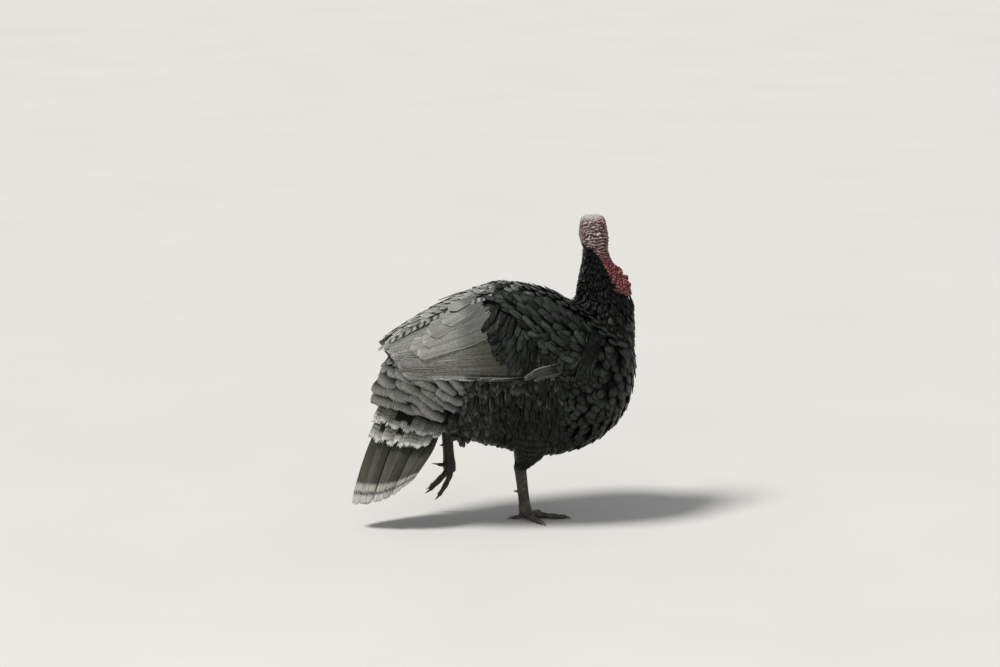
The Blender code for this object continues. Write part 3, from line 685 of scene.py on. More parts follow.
def vanes(surface, root, tip, half, paint, seed, rows=6, columns=NARROW, edges=None, height=0.0,
          sink=0.005, rise=0.003, cup=0.12, roll=0.06, round_tip=0.9, narrow=0.45, fray=0.0,
          thick=0.0007, curl=0.0, bars=0.0, strips=None, bake=None):
    """Feathers on a surface from root to tip, both (count, 2). t runs from 0 at a root to 1 at a
    tip and u from -1 to 1 across.

    A point stands over the surface by height, less sink times 1 - t to the power 1.4, plus rise
    times t to the power 1.5. Across, it is a parabola, cup half widths high, tilted by roll, and
    its last third bends down by curl. Outer columns stop short of the tip to make it round: by
    round_tip half widths times one less the root of one less u squared. fray makes that uneven,
    and narrow is how wide the root is beside the rest. half is in metres, and edges, where
    given, is the half width in the surface's second number instead. bake turns roots into places
    on the unwrapped surface; quills have a strip each instead, from strips = (first, total).
    """
    draw = np.random.default_rng(seed)
    root, tip = np.asarray(root, float), np.asarray(tip, float)
    count = len(root)
    u, t = np.asarray(columns), np.linspace(0, 1, rows)
    half = np.broadcast_to(half, count).astype(float)
    height, sink, rise = (np.broadcast_to(value, count).astype(float)[:, None, None]
                          for value in (height, sink, rise))
    chance = draw.uniform(0, 1, count)
    way = tip - root
    line = root[:, None] + way[:, None] * t[:, None]
    centre = surface(line[..., 0], line[..., 1])
    length = np.linalg.norm(np.diff(centre, axis=1), axis=-1).sum(1)
    along_a, along_b = partials(surface, line[..., 0], line[..., 1])
    sign = OUTWARD.get(surface, 1)
    if edges is None:
        normal = unit(np.cross(along_a, along_b)) * sign
        travel = along_a * way[:, None, :1] + along_b * way[:, None, 1:]
        side = unit(np.cross(normal, travel))
        aa, ab, bb = (np.einsum("nrk,nrk->nr", p, q) for p, q in
                      ((along_a, along_a), (along_a, along_b), (along_b, along_b)))
        sa, sb = (np.einsum("nrk,nrk->nr", p, side) for p in (along_a, along_b))
        whole = np.maximum(aa * bb - ab * ab, 1e-9)
        spread = np.stack([(bb * sa - ab * sb) / whole, (aa * sb - ab * sa) / whole], -1)
        spread = spread * half[:, None, None]
    else:
        spread = np.broadcast_to(np.array([0.0, 1.0]) * sign, line.shape) * np.broadcast_to(
            edges, count)[:, None, None]
    reach = 1 - round_tip * (half / length)[:, None] * (1 - np.sqrt(1 - (0.98 * u) ** 2))
    reach = np.clip(reach + fray * draw.uniform(-1, 1, reach.shape) * (half / length)[:, None], 0.3, 1.05)
    reach = reach[:, None, :]
    at = t[None, :, None] * (1 - (1 - reach) * t[None, :, None] ** 3)
    width = narrow + (1 - narrow) * ease(0.0, 0.45, at)
    place = root[:, None, None] + way[:, None, None] * at[..., None] + (
        spread[:, :, None] * (u[None, None] * width)[..., None])
    points = surface(place[..., 0], place[..., 1])
    normal = unit(np.cross(*partials(surface, place[..., 0], place[..., 1]))) * sign
    lean = roll * draw.normal(size=count)[:, None, None]
    lift = draw.uniform(0.5, 1.4, count)[:, None, None]
    up = (height - sink * np.maximum(1 - at, 0) ** 1.4 + rise * lift * at**1.5
          - curl * np.clip((at - 0.66) / 0.34, 0, 1) ** 2
          + half[:, None, None] * width * (cup * (1 - u**2) + lean * u * at))
    points = points + normal * up[..., None]
    middle = len(u) // 2
    under = points[:, :, middle] - normal[:, :, middle] * (thick + cup * 0.5 * half)[:, None, None]
    tints = paint(at, np.broadcast_to(u, at.shape), chance[:, None, None], points)
    barb = at * length[:, None, None] - np.abs(u) * width * half[:, None, None] * 1.3
    values = {"barb": barb, "vane_u": np.broadcast_to(u, at.shape), "along": at * length[:, None, None],
              "chance": np.broadcast_to(chance[:, None, None], at.shape),
              "bars": np.broadcast_to(bars, at.shape)}
    if strips is not None:
        first, total = strips
        order = (first + np.arange(count) + 0.5) / total
        bake_map = np.stack([order[:, None, None] + u * (0.46 / total) + 0 * at, 0.02 + 0.96 * at], -1)
    else:
        spot = 0.01 + 0.98 * np.clip(bake(root), 0, 1)
        bake_map = np.stack([spot[:, 0, None, None] + u * (PATCH / 2) + 0 * at,
                             spot[:, 1, None, None] + (at - 0.5) * PATCH], -1)

    def with_keel(grid):
        """The values of the upper side, and once more the middle ones, for the keel under it."""
        return np.concatenate([grid, grid[:, :, middle:middle + 1]], 2)

    return {"points": np.concatenate([points, under[:, :, None]], 2), "tints": with_keel(tints),
            "values": {key: with_keel(value) for key, value in values.items()},
            "bake": with_keel(bake_map)}


def vane_faces(count, rows, columns):
    """Faces of count closed vanes: per row, columns of upper points and one point under them."""
    step = columns + 1
    i, j = np.meshgrid(np.arange(rows - 1), np.arange(columns - 1), indexing="ij")
    a = (i * step + j).ravel()
    upper = np.stack([a, a + step, a + step + 1, a + 1], -1)
    i = np.arange(rows - 1) * step
    low, left, right = i + columns, i, i + columns - 1
    lower = np.concatenate([np.stack([left, low, low + step, left + step], -1),
                            np.stack([low, right, right + step, low + step], -1)])
    root = np.arange(columns + 1)[None]
    end = root[:, ::-1] + (rows - 1) * step
    base = (np.arange(count) * rows * step)[:, None, None]
    return [(base + face[None]).reshape(-1, face.shape[1])
            for face in (upper, lower, np.concatenate([root, end]))]


def coat(name, batches, finish, mirror=False):
    """One piece from batches of vanes. mirror makes it for the bird's other side."""
    points, tints, bake_map, sorts, values, start = [], [], [], [], {}, 0
    for batch in batches:
        count, rows, across = batch["points"].shape[:3]
        points.append(batch["points"].reshape(-1, 3))
        tints.append(batch["tints"].reshape(-1, 3))
        bake_map.append(batch["bake"].reshape(-1, 2))
        for key, value in batch["values"].items():
            values.setdefault(key, []).append(value.ravel())
        sorts.append([face + start for face in vane_faces(count, rows, across - 1)])
        start += count * rows * across
    points = np.concatenate(points)
    if mirror:
        points = points * [1, -1, 1]
        sorts = [[face[:, ::-1] for face in group] for group in sorts]
    faces = [face for group in sorts for face in group]
    flat = np.concatenate([np.full(len(face), k > 0) for group in sorts for k, face in enumerate(group)])
    values = {key: np.concatenate(value) for key, value in values.items()}
    return solid(name, points, faces, finish, values, np.concatenate(tints),
                 np.concatenate(bake_map), flat)


# --------------------------------------------------------------------------- feather colours
BLACK = np.array([0.0028, 0.0034, 0.0028])
SHEEN_PAINTED_BLACK = np.array([0.0118, 0.0140, 0.0118])         # black with a painted green-grey sheen: highlights painted into the colour
SMOKE = np.array([0.018, 0.022, 0.018])
GREY = np.array([0.120, 0.122, 0.112])
PALE = np.array([0.245, 0.243, 0.226])
WHITE = np.array([0.50, 0.50, 0.47])
DRAB = np.array([0.066, 0.067, 0.049])             # the olive grey of the tail's quills
BUFF = np.array([0.26, 0.255, 0.225])


def painted(base, root=None, rim=None, edge=2.0, end=2.0, bands=(), vary=0.3, fade=0.35):
    """A painter of vanes: base, from the root's colour, with a rim beyond |u| = edge or t = end,
    and bands of (from t, to t, colour). vary is how much lighter or darker one feather is. A
    painter takes t and u of the points, each feather's chance, and the points' places."""
    def paint(t, u, chance, _):
        first = base if root is None else root
        colour = blend(first, base, ease(fade, fade + 0.3, t)) * (1 + vary * (chance - 0.5))[..., None]
        for start, stop, other in bands:
            share = ease(start - 0.012, start + 0.012, t) * (1 - ease(stop - 0.012, stop + 0.012, t))
            colour = blend(colour, other, share)
        if rim is not None:
            share = np.maximum(ease(edge, edge + 0.16, np.abs(u)), ease(end, end + 0.07, t))
            colour = blend(colour, rim, share)
        return colour
    return paint


def trunk_paint(t, u, chance, place):
    """Black with a painted grey-green sheen, standing in for highlights, on each feather's lower half, and
    darker on the belly as painted shade under the body; feathers of the back end in a dark bar and a pale
    tip."""
    x, _, z = np.moveaxis(place, -1, 0)
    colour = blend(BLACK * 0.5, SHEEN_PAINTED_BLACK * 2.4, ease(0.48, 0.70, t) * (1 - 0.8 * ease(0.84, 0.96, t)))
    colour = blend(colour, BLACK * 0.5, 0.95 * ease(0.50, 0.95, np.abs(u)))
    # Darker towards the belly: painted shade under the body
    colour = colour * ((0.6 + 0.8 * chance) * (1 - 0.5 * ease(0.36, 0.24, z)))[..., None]
    back = ease(0.57, 0.62, z) * (1 - ease(-0.02, 0.06, x)) * (0.45 + 0.55 * (chance > 0.35))
    tipped = ease(0.62, 0.70, t) * (1 - 0.8 * ease(0.76, 0.79, t) * (1 - ease(0.84, 0.87, t)))
    return blend(colour, PALE, back * tipped)


BAR_GAP = 0.0112                                   # from bar to bar on the wing's upper edge


def fringe_paint(t, u, chance, place):
    """Pale with faint bars and a whitish end; three feathers in ten are black down to it."""
    bars = [(k, k + 0.05, DRAB * 0.5) for k in (0.42, 0.54, 0.66)]
    colour = painted(PALE, DRAB, WHITE, 0.85, 0.84, bars, vary=0.5)(t, u, chance, place)
    return blend(colour, BLACK, (chance > 0.70) * ease(0.76, 0.68, t))


def barred_paint(_t, _u, chance, place):
    """Black and whitish bars across the wing's upper edge, in line from feather to feather."""
    x, _, z = np.moveaxis(place, -1, 0)
    wave = np.sin(2 * math.pi * ((0.86 * x - 0.50 * z) / BAR_GAP + 0.10 * chance))
    return blend(PALE * 1.15, BLACK, ease(-0.15, 0.40, wave) * (0.75 + 0.25 * chance))


def frosted(paint, grey, amount, where):
    """The same painter, with the edges and ends of some feathers grey: a share of amount of them
    at places for which the function where gives 1, and fewer where it gives less."""
    def frost(t, u, chance, place):
        share = (chance < amount * where(*np.moveaxis(place, -1, 0))) * np.maximum(
            ease(0.55, 0.95, np.abs(u)), ease(0.70, 1.0, t)) * ease(0.25, 0.6, t)
        return blend(paint(t, u, chance, place), grey, share)
    return frost


# --------------------------------------------------------------------------- coats
def wing_span(s):
    """Height of the folded wing at s."""
    _, _, _, low, high = wing_lines(s)
    return high - low


def wing_aim(root, length, lean):
    """Tips on the wing: length from each root, at lean degrees behind straight down."""
    turn = np.radians(lean)
    s, v = root[:, 0], root[:, 1]
    return np.stack([s + length * np.sin(turn) / (WING_FRONT - WING_REAR),
                     v - length * np.cos(turn) / wing_span(s)], -1)


RIDGE_TOP, RIDGE_LOW = (0.47, 1.0), (0.07, 0.06)       # s, v of the folded forearm's ends


def past_ridge(root):
    """How far places on the wing lie behind the forearm's line, in s."""
    share = (root[:, 1] - RIDGE_LOW[1]) / (RIDGE_TOP[1] - RIDGE_LOW[1])
    return root[:, 0] - (RIDGE_LOW[0] + (RIDGE_TOP[0] - RIDGE_LOW[0]) * share)


def past_pale(root):
    """How far places on the wing lie behind the line where the pale quills begin, in s."""
    return root[:, 0] - through([(0, 0.37), (0.18, 0.47), (0.68, 0.545), (1.0, 0.585)], root[:, 1])[..., 0]


def wing_places(gap, seed, front=0.0):
    """Staggered places over the wing from s = front to 0.75, gap metres apart."""
    draw = np.random.default_rng(seed)
    across = gap / (WING_FRONT - WING_REAR)
    up = gap * 0.9 / 0.20
    s, v = np.meshgrid(np.arange(front, 0.75, across), np.arange(-0.02, 0.98, up), indexing="ij")
    v = v + up * 0.5 * (np.arange(len(v)) % 2)[:, None]
    place = np.stack([s.ravel(), v.ravel()], -1)
    return place + draw.normal(size=place.shape) * [across * 0.12, up * 0.12]


def wing_unwrap(root):
    """Places on the wing as places on its baking map."""
    return np.stack([root[:, 0] / 1.1 + 0.05, root[:, 1] / 1.2 + 0.08], -1)


def shoulder_scallops():
    """Rounded feathers in front of the forearm, lightened by a painted sheen. The higher they sit, the
    further back they lie.
    """
    place = wing_places(0.021, 11, front=-0.03)
    place = place[past_ridge(place) < 0.0]
    end = wing_aim(place, 0.054, 56 + 62 * ease(0.30, 0.85, place[:, 1]))
    end[:, 1] = np.minimum(end[:, 1], 0.95)
    paint = painted(SHEEN_PAINTED_BLACK * 2.0, BLACK * 0.5, BLACK * 0.6, 0.62, 0.90, vary=1.3)
    return vanes(wing, place, end, 0.0135, paint, 12, rows=8, height=0.001, sink=0.006, rise=0.0025,
                 cup=0.08, roll=0.10, fray=0.3, round_tip=1.2, bake=wing_unwrap)


def dark_fan():
    """Long loose feathers that spread behind the forearm, as far as the pale quills."""
    place = wing_places(0.0140, 13)
    place = place[(past_ridge(place) > -0.025) & (past_pale(place) < 0.0)]
    draw = np.random.default_rng(14)
    lean = 8 + 62 * (place[:, 0] - 0.28) / 0.30 + draw.normal(size=len(place)) * 6
    end = wing_aim(place, 0.076 + 0.016 * draw.uniform(-1, 1, len(place)), lean)
    inside = past_pale(end) < 0.012
    paint = painted(SMOKE * 0.8, BLACK, BLACK, 0.72, 0.97, vary=1.9)
    return vanes(wing, place[inside], end[inside], 0.0085, paint, 15, rows=9, height=0.002, sink=0.003,
                 rise=0.0012, cup=0.03, roll=0.10, fray=1.0, round_tip=2.6, bake=wing_unwrap)


def forearm_rows():
    """Two raised rows of scallops along the forearm, the second in front of the first, lightened by a
    painted sheen.
    """
    share = np.concatenate([np.linspace(0.15, 1.0, 15), np.linspace(0.20, 0.90, 12)])
    ahead = np.repeat([0.0, 0.085], [15, 12])
    place = np.stack([RIDGE_TOP[0] + (RIDGE_LOW[0] - RIDGE_TOP[0]) * share - ahead,
                      RIDGE_TOP[1] + (RIDGE_LOW[1] - RIDGE_TOP[1]) * share], -1)
    draw = np.random.default_rng(43)
    length = 0.064 * draw.uniform(0.8, 1.2, len(place))
    end = wing_aim(place, length, 118 + 7 * draw.normal(size=len(place)))
    end[:, 1] = np.minimum(end[:, 1], 0.96)
    paint = painted(SHEEN_PAINTED_BLACK * 2.4, BLACK * 0.6, BLACK * 0.6, 0.66, 0.92, vary=1.4)
    return vanes(wing, place, end, 0.0105, paint, 16, rows=9, height=0.005, sink=0.007, rise=0.001,
                 cup=0.26, roll=0.16, fray=0.6, round_tip=1.8, bake=wing_unwrap)


def lower_edge():
    """Long pale-rimmed feathers along the wing's lower edge: four in front and three behind."""
    place = np.array([(0.07, 0.08), (0.09, 0.11), (0.11, 0.15), (0.13, 0.19),
                      (0.30, 0.03), (0.36, 0.02), (0.42, 0.02)])
    end = np.array([(0.31, -0.02), (0.35, 0.01), (0.36, 0.04), (0.33, 0.08),
                    (0.52, 0.00), (0.58, 0.00), (0.64, 0.01)])
    paint = painted(GREY * 0.45, BLACK, PALE * 0.8, 0.55, 0.92, vary=0.6)
    return vanes(wing, place, end, np.repeat([0.0085, 0.0070], [4, 3]), paint, 17, rows=14,
                 height=0.004, sink=0.005, rise=0.001, cup=0.18, fray=0.3, round_tip=2.4,
                 bake=wing_unwrap)


def upper_edge():
    """Barred feathers along the wing's upper edge."""
    s = np.linspace(0.46, 0.88, 20)
    place = np.stack([s - 0.03, 0.965 + 0 * s], -1)
    end = np.stack([s + 0.085, 0.945 - 0.02 * s], -1)
    return vanes(wing, place, end, 0.010, barred_paint, 18, rows=24, height=0.005, sink=0.004,
                 rise=0.001, cup=0.08, round_tip=1.3, bake=wing_unwrap)


def wing_quills():
    """The folded quills: primaries under secondaries, and those under tertials."""
    many = 9, 12, 6
    k = np.linspace(0, 1, many[0])
    primaries = vanes(
        wing, np.stack([0.12 + 0.06 * k, 0.10 * k], -1), np.stack([0.66 + 0.20 * k, 0.01 + 0.07 * k], -1),
        0.015, painted(GREY, DRAB, PALE, 0.72, 0.95, vary=0.3), 19, rows=26, columns=BROAD,
        height=-0.007 + 0.001 * k, sink=0.002, rise=0.002, cup=0.08, fray=0.3, bars=0.6, thick=0.0009,
        strips=(0, sum(many)))
    k = np.linspace(0, 1, many[1])
    secondaries = vanes(
        wing, np.stack([0.22 + 0.28 * k, 0.08 + 0.76 * k], -1),
        np.stack([0.93 + 0.06 * k, 0.02 + 0.88 * k], -1), 0.023,
        painted(PALE * 0.8, DRAB, WHITE, 0.78, 0.955, vary=0.35), 20, rows=28, columns=BROAD,
        height=-0.005 + 0.004 * k, sink=0.002, rise=0.003, cup=0.08, fray=0.14, round_tip=1.1,
        bars=0.9, thick=0.0009, strips=(many[0], sum(many)))
    root = np.array([(0.46, 0.60), (0.49, 0.70), (0.50, 0.78), (0.52, 0.86), (0.53, 0.93), (0.55, 0.99)])
    end = np.array([(0.85, 0.47), (0.88, 0.59), (0.82, 0.64), (0.79, 0.76), (0.72, 0.82), (0.68, 0.93)])
    tertials = vanes(
        wing, root, end, np.array([0.021, 0.024, 0.027, 0.027, 0.026, 0.024]),
        painted(PALE * 0.9, GREY * 0.8, WHITE * 1.1, 0.84, 0.955, vary=0.35), 21, rows=26,
        columns=BROAD, height=0.001 + 0.0015 * np.arange(many[2]), sink=0.004, rise=0.004, cup=0.12,
        fray=0.10, bars=0.5, thick=0.0009, strips=(many[0] + many[1], sum(many)))
    return [primaries, secondaries, tertials]


TRUNK_ROW = 0.072                # angle between the trunk's rows of feathers, as seen from its heart


def trunk_coat():
    """Scallops in rows from the neck to the tail, left out under the wings and the rolls."""
    starts = np.arange(0.096, 2.96, TRUNK_ROW)
    root = rows_on(trunk, starts, 0.0205, seed=1, stray=0.25)
    x, y, z = trunk(root[:, 0], root[:, 1]).T
    s = (WING_FRONT - x) / (WING_FRONT - WING_REAR)
    _, _, _, low, high = wing_lines(s)
    v = (z - low) / (high - low)
    under_wing = (s > 0.09) & (s < 0.95) & (v > 0.14) & (v < 0.88) & (np.abs(y) > 0.03)
    under_rolls = (x < -0.19) & (z > 0.345) | (x <= -0.388)
    in_neck = z >= 0.68 - 0.4 * np.maximum(x - 0.13, 0)
    keep = ~under_wing & ~under_rolls & ~in_neck
    root, x, y, z = root[keep], x[keep], y[keep], z[keep]
    draw = np.random.default_rng(2)
    rear = ease(0.02, 0.16, -x) * (1 - ease(0.40, 0.50, z))
    root[:, 0] += 0.12 * TRUNK_ROW * draw.normal(size=len(root))
    tip = root + np.stack([TRUNK_ROW * (2.3 + 0.9 * rear) * draw.uniform(0.88, 1.12, len(root)),
                           0.012 * draw.normal(size=len(root))], -1)
    tip[:, 0] = np.minimum(tip[:, 0], 3.08)
    return vanes(trunk, root, tip, 0.0150 - 0.002 * rear, trunk_paint, 3, rows=7, rise=0.0040 + 0.004 * rear,
                 sink=0.006, cup=0.16, fray=0.25, bake=lambda r: np.stack([r[:, 1], r[:, 0] / math.pi], -1))


def flank_coat():
    """Long loose feathers that hang down below the wing."""
    starts = np.arange(-0.035, 0.150, 0.023)
    root = rows_on(flank, starts, 0.0145, ends=(-0.20, 0.075), seed=30, stray=0.45)
    draw = np.random.default_rng(31)
    length = 0.074 * draw.uniform(0.75, 1.2, len(root))
    tip = root + np.stack([length, 0.004 - 0.010 * draw.normal(size=len(root))], -1)
    paint = painted(SMOKE * 0.6, BLACK * 0.7, BLACK * 0.7, 0.75, 0.94, vary=1.5)
    paint = frosted(paint, GREY * 0.60, 0.55, lambda x, y, z: ease(0.34, 0.42, z) + ease(-0.08, -0.14, x))
    return vanes(flank, root, tip, 0.0088, paint, 32, rows=9, height=0.004, sink=0.008, rise=0.006,
                 cup=0.10, roll=0.30, fray=0.8, round_tip=2.0,
                 bake=lambda r: np.stack([(r[:, 1] + 0.32) / 0.42, (r[:, 0] + 0.05) / 0.25], -1))


def back_coat():
    """Feathers of the back between the wings: black in front, barred and pale-tipped behind."""
    made = []
    # The front feathers are black with a painted sheen
    for k, (starts, paint) in enumerate((
            (np.arange(0.10, 0.40, 0.034), painted(SHEEN_PAINTED_BLACK, BLACK, WHITE * 0.7, 2.0, 0.95, vary=0.9)),
            (np.arange(0.40, 0.93, 0.034), painted(PALE, SMOKE, WHITE, 0.80, 0.90, vary=0.6)))):
        root = rows_on(back, starts, 0.0165, ends=(-1.0 + 0.25 * k, 1.0 - 0.25 * k), seed=33 + k, stray=0.3)
        draw = np.random.default_rng(35 + k)
        tip = root + np.stack([0.082 * draw.uniform(0.85, 1.15, len(root)),
                               0.10 * draw.normal(size=len(root))], -1)
        made.append(vanes(back, root, tip, 0.0125, paint, 37 + k, rows=12, height=0.001, sink=0.006,
                          rise=0.004, cup=0.14, roll=0.10, fray=0.3,
                          bake=lambda r: np.stack([r[:, 1] / 2.1 + 0.5, r[:, 0] / 1.05], -1)))
    return made


def bare_neck(z, turn):
    """Whether a place on the neck is bare. The bare part has two edges, in degrees from the
    front towards the bird's left, and closes at its lower end."""
    right, left = np.moveaxis(through(
        [(0.625, 2, 2), (0.632, -36, 36), (0.642, -60, 60), (0.660, -78, 78), (0.690, -72, 92),
         (0.715, -74, 108), (0.735, -86, 126), (0.750, -100, 140), (0.765, -122, 152),
         (0.780, -176, 176)], z), -1, 0)
    angle = (turn * 360 + 180) % 360 - 180
    return (angle > right) & (angle < left)


def neck_coat():
    """Small feathers down the neck, larger and longer lower down, that spread over the back."""
    rows = 31
    starts = -0.012 + np.cumsum(np.linspace(0.0050, 0.0125, rows))
    root = rows_on(neck, starts, np.linspace(0.0052, 0.015, rows), seed=4, stray=0.4)
    draw = np.random.default_rng(41)
    root[:, 0] += 0.003 * draw.normal(size=len(root))
    x, _, z = neck(root[:, 0], root[:, 1]).T
    middle, rise, _, _ = trunk_section(np.clip(x, RUMP[0] + 1e-4, BREAST[0] - 1e-4))
    over_back = z - middle - rise                 # height over the trunk's top line
    sunk = (over_back < -0.080) & (x < 0.20)
    keep = ~bare_neck(z, root[:, 1]) & ~sunk
    flare = (ease(0.050, 0.0, over_back) * (x < 0.20))[keep]
    root, z = root[keep], z[keep]
    size = 1 - ease(0.55, 0.75, z)
    length = (0.019 + 0.026 * size + 0.012 * flare) * draw.uniform(0.8, 1.2, len(root))
    swing = 0.012 * draw.normal(size=len(root))
    # Black with a faint painted sheen; pale edges on some feathers at the back of the upper neck are painted
    # rim light
    paint = frosted(painted(SHEEN_PAINTED_BLACK * 0.5, BLACK * 0.5, BLACK * 0.7, 0.7, 0.93, vary=0.9), PALE * 0.8, 0.55,
                    lambda x, y, z: ease(0.186, 0.172, x + 0.16 * (0.76 - z)) * ease(0.64, 0.68, z))
    return vanes(neck, root, root + np.stack([length, swing], -1), 0.0032 + 0.0072 * size, paint, 5,
                 rows=6, sink=0.004, rise=0.0015 + 0.003 * size + 0.024 * flare, cup=0.16, roll=0.14,
                 fray=0.3, round_tip=1.7,
                 bake=lambda r: np.stack([r[:, 1], r[:, 0] / 0.30 + 0.05], -1))


def thigh_coat(side):
    """Feathers down a thigh, smaller and flatter towards the hock, black with a painted sheen."""
    surface = thigh_surface(side)
    OUTWARD[surface] = 1
    starts = np.concatenate([[0.2, 0.5, 0.8, 1.1, 1.4, 1.7], np.arange(1.95, 3.75, 0.24)])
    root = rows_on(surface, starts, np.linspace(0.020, 0.012, len(starts)), seed=6)
    share = root[:, 0] / 4
    tip = root + np.stack([0.75 - 0.15 * share, 0 * share], -1)
    tip[:, 0] = np.minimum(tip[:, 0], 3.98)
    return vanes(surface, root, tip, 0.0135 - 0.006 * share,
                 painted(SHEEN_PAINTED_BLACK, BLACK, BLACK, 0.75, 0.92, vary=0.8), 7, rows=6,
                 height=-0.006 * ease(0.55, 0.95, share), sink=0.006, rise=0.003 - 0.002 * share,
                 cup=0.16, fray=0.35, round_tip=1.2,
                 bake=lambda r: np.stack([r[:, 1], r[:, 0] / 4.2], -1))


def rump_coat():
    """Thick rolls of coverts in hoops round the tail's root, then two rows of fringed ones."""
    starts = np.arange(-0.34, 0.36, 0.155)
    root = rows_on(rump, starts, 0.043, ends=(-1.0, 1.0), seed=8, stray=0.3)
    root = root[np.abs(root[:, 1]) < 0.76]
    draw = np.random.default_rng(9)
    length = 0.31 * draw.uniform(0.94, 1.06, len(root))
    tip = root + np.stack([length, 0.015 * draw.normal(size=len(root))], -1)
    made = [vanes(rump, root, tip, 0.040,
                  painted(PALE * 0.45, BLACK, PALE * 0.75, 2.0, 0.80, vary=0.5, fade=0.50), 10, rows=13,
                  columns=ROLLED, height=0.001, sink=0.012, rise=0.015, cup=0.14, roll=0.10,
                  fray=0.10, round_tip=0.26, thick=0.003, curl=0.009,
                  bake=lambda r: np.stack([r[:, 1] / 2 + 0.5, (r[:, 0] + 0.4) / 1.6], -1))]
    for k, (start, stop) in enumerate(((-0.10, 0.17), (0.00, 0.34))):
        place = np.linspace(-0.95 + 0.10 * k, 0.95 - 0.10 * k, 21 - k)
        root = np.stack([start + 0 * place, place], -1)
        tip = np.stack([stop + 0.02 * np.cos(place * 40), place * 1.02], -1)
        made.append(vanes(tail, root, tip, 0.016, fringe_paint, 22 + k, rows=18,
                          columns=np.linspace(-1, 1, 15), edges=0.072, height=0.013 - 0.006 * k,
                          sink=0.004, rise=0.005, cup=0.2, fray=0.5, bake=lambda r, k=k: np.stack(
                              [r[:, 1] / 2.2 + 0.5, 0 * r[:, 0] + 0.90 + 0.06 * k], -1)))
    return made


def tail_coat():
    """The tail's quills, the middle ones laid last: olive grey, then a buff band, a thin black one and a
    whitish end. Their black side edges are painted shade between the overlapping quills."""
    many = 18
    across = np.linspace(-0.95, 0.95, many) + 0.030 * np.sin(np.arange(many) * 2.3)
    across = across[np.argsort(-np.abs(across))]
    bands = [(0.790, 0.872, BUFF * 1.4), (0.872, 0.898, BLACK * 2), (0.898, 1.1, WHITE * 0.9)]
    return vanes(tail, np.stack([0.01 + 0 * across, across], -1), np.stack([1.0 + 0 * across, across], -1),
                 0.020, painted(DRAB, DRAB * 0.6, BLACK, edge=0.86, bands=bands, vary=0.7), 24, rows=40,
                 columns=BROAD, roll=0.10, edges=0.082, height=0.0035 - 0.008 * np.abs(across),
                 sink=0.004, rise=0.002, cup=0.12, fray=0.20, bars=0.4, thick=0.0010, strips=(0, many))


# --------------------------------------------------------------------------- skin
def head_shape(rows=26, around=48):
    """The head: rings turn forward about the throat corner, then run on along the face. Each is
    a superellipse of power 2.7 that is taller above its middle than below."""
    turn = np.linspace(0, math.pi / 2, rows)
    share = turn / (math.pi / 2)
    bend = np.stack([0 * turn + HEAD_X, THROAT[0] - NAPE_RADIUS * np.cos(turn),
                     THROAT[1] + NAPE_RADIUS * np.sin(turn)], -1)
    stations = [(THROAT[0], 0.8000, 0.0352, 0.0485, 0.0320), (0.050, 0.7995, 0.0305, 0.0430, 0.0290),
                (0.062, 0.7985, 0.0235, 0.0330, 0.0240), (FACE_END, 0.7970, 0.0155, 0.0195, 0.0165)]
    y = np.linspace(THROAT[0], FACE_END, rows)[1:]
    middle, half, above, below = through(stations, y).T
    path = np.concatenate([bend, np.stack([0 * y + HEAD_X, y, middle], -1)])
    wide = np.concatenate([0.0345 + 0.0035 * np.sin(share * math.pi * 0.62), half])
    over = np.concatenate([0.0355 + 0.0130 * share**0.8, above])
    beneath = np.concatenate([0.0355 - 0.0035 * share, below])
    up = np.concatenate([np.stack([0 * turn, -np.cos(turn), np.sin(turn)], -1),
                         np.tile([0.0, 0.0, 1.0], (len(y), 1))])
    angle = np.linspace(0, 2 * math.pi, around, endpoint=False)
    across, height = signed_power(np.cos(angle), 2 / 2.7), signed_power(np.sin(angle), 2 / 2.7)
    tall = np.where(height > 0, over[:, None], beneath[:, None])
    rings = (path[:, None] + np.array([1.0, 0, 0]) * (wide[:, None] * across)[..., None]
             + up[:, None] * (tall * height)[..., None])
    return tube(rings, path[0] - [0, 0, 0.004], (HEAD_X, FACE_END + 0.004, 0.797))


def ball(centre, radii, turn=0.0, rows=14, around=20):
    """An ellipsoid: the unit sphere by its angles, times radii, turned about the upright."""
    polar = np.linspace(0, math.pi, rows + 2)[1:-1, None]
    angle = np.linspace(0, 2 * math.pi, around, endpoint=False)[None]
    shape = np.stack([np.sin(polar) * np.cos(angle), np.sin(polar) * np.sin(angle),
                      -np.cos(polar) + 0 * angle], -1) * radii
    c, s = math.cos(turn), math.sin(turn)
    spin = np.array([[c, s, 0], [-s, c, 0], [0, 0, 1.0]])
    return tube(shape @ spin + centre, np.add(centre, [0, 0, -radii[2]]), np.add(centre, [0, 0, radii[2]]))


def ring_tube(centre, around_radii, thick, points=28, across=10):
    """An eyelid: a circle of radius thick carried round an ellipse in the y-z plane."""
    turn = np.linspace(0, 2 * math.pi, points, endpoint=False)
    angle = np.linspace(0, 2 * math.pi, across, endpoint=False)
    out = np.stack([0 * turn, np.cos(turn), np.sin(turn)], -1)
    path = np.array(centre) + out * [0, *around_radii]
    rings = (path[:, None] + out[:, None] * (thick * np.cos(angle))[None, :, None]
             + np.array([1.0, 0, 0]) * (thick * np.sin(angle))[None, :, None])
    i, j = np.meshgrid(np.arange(points), np.arange(across), indexing="ij")
    a, b = (i + 1) % points, (j + 1) % across
    face = np.stack([i * across + j, i * across + b, a * across + b, a * across + j], -1).reshape(-1, 4)
    return rings.reshape(-1, 3), [face]


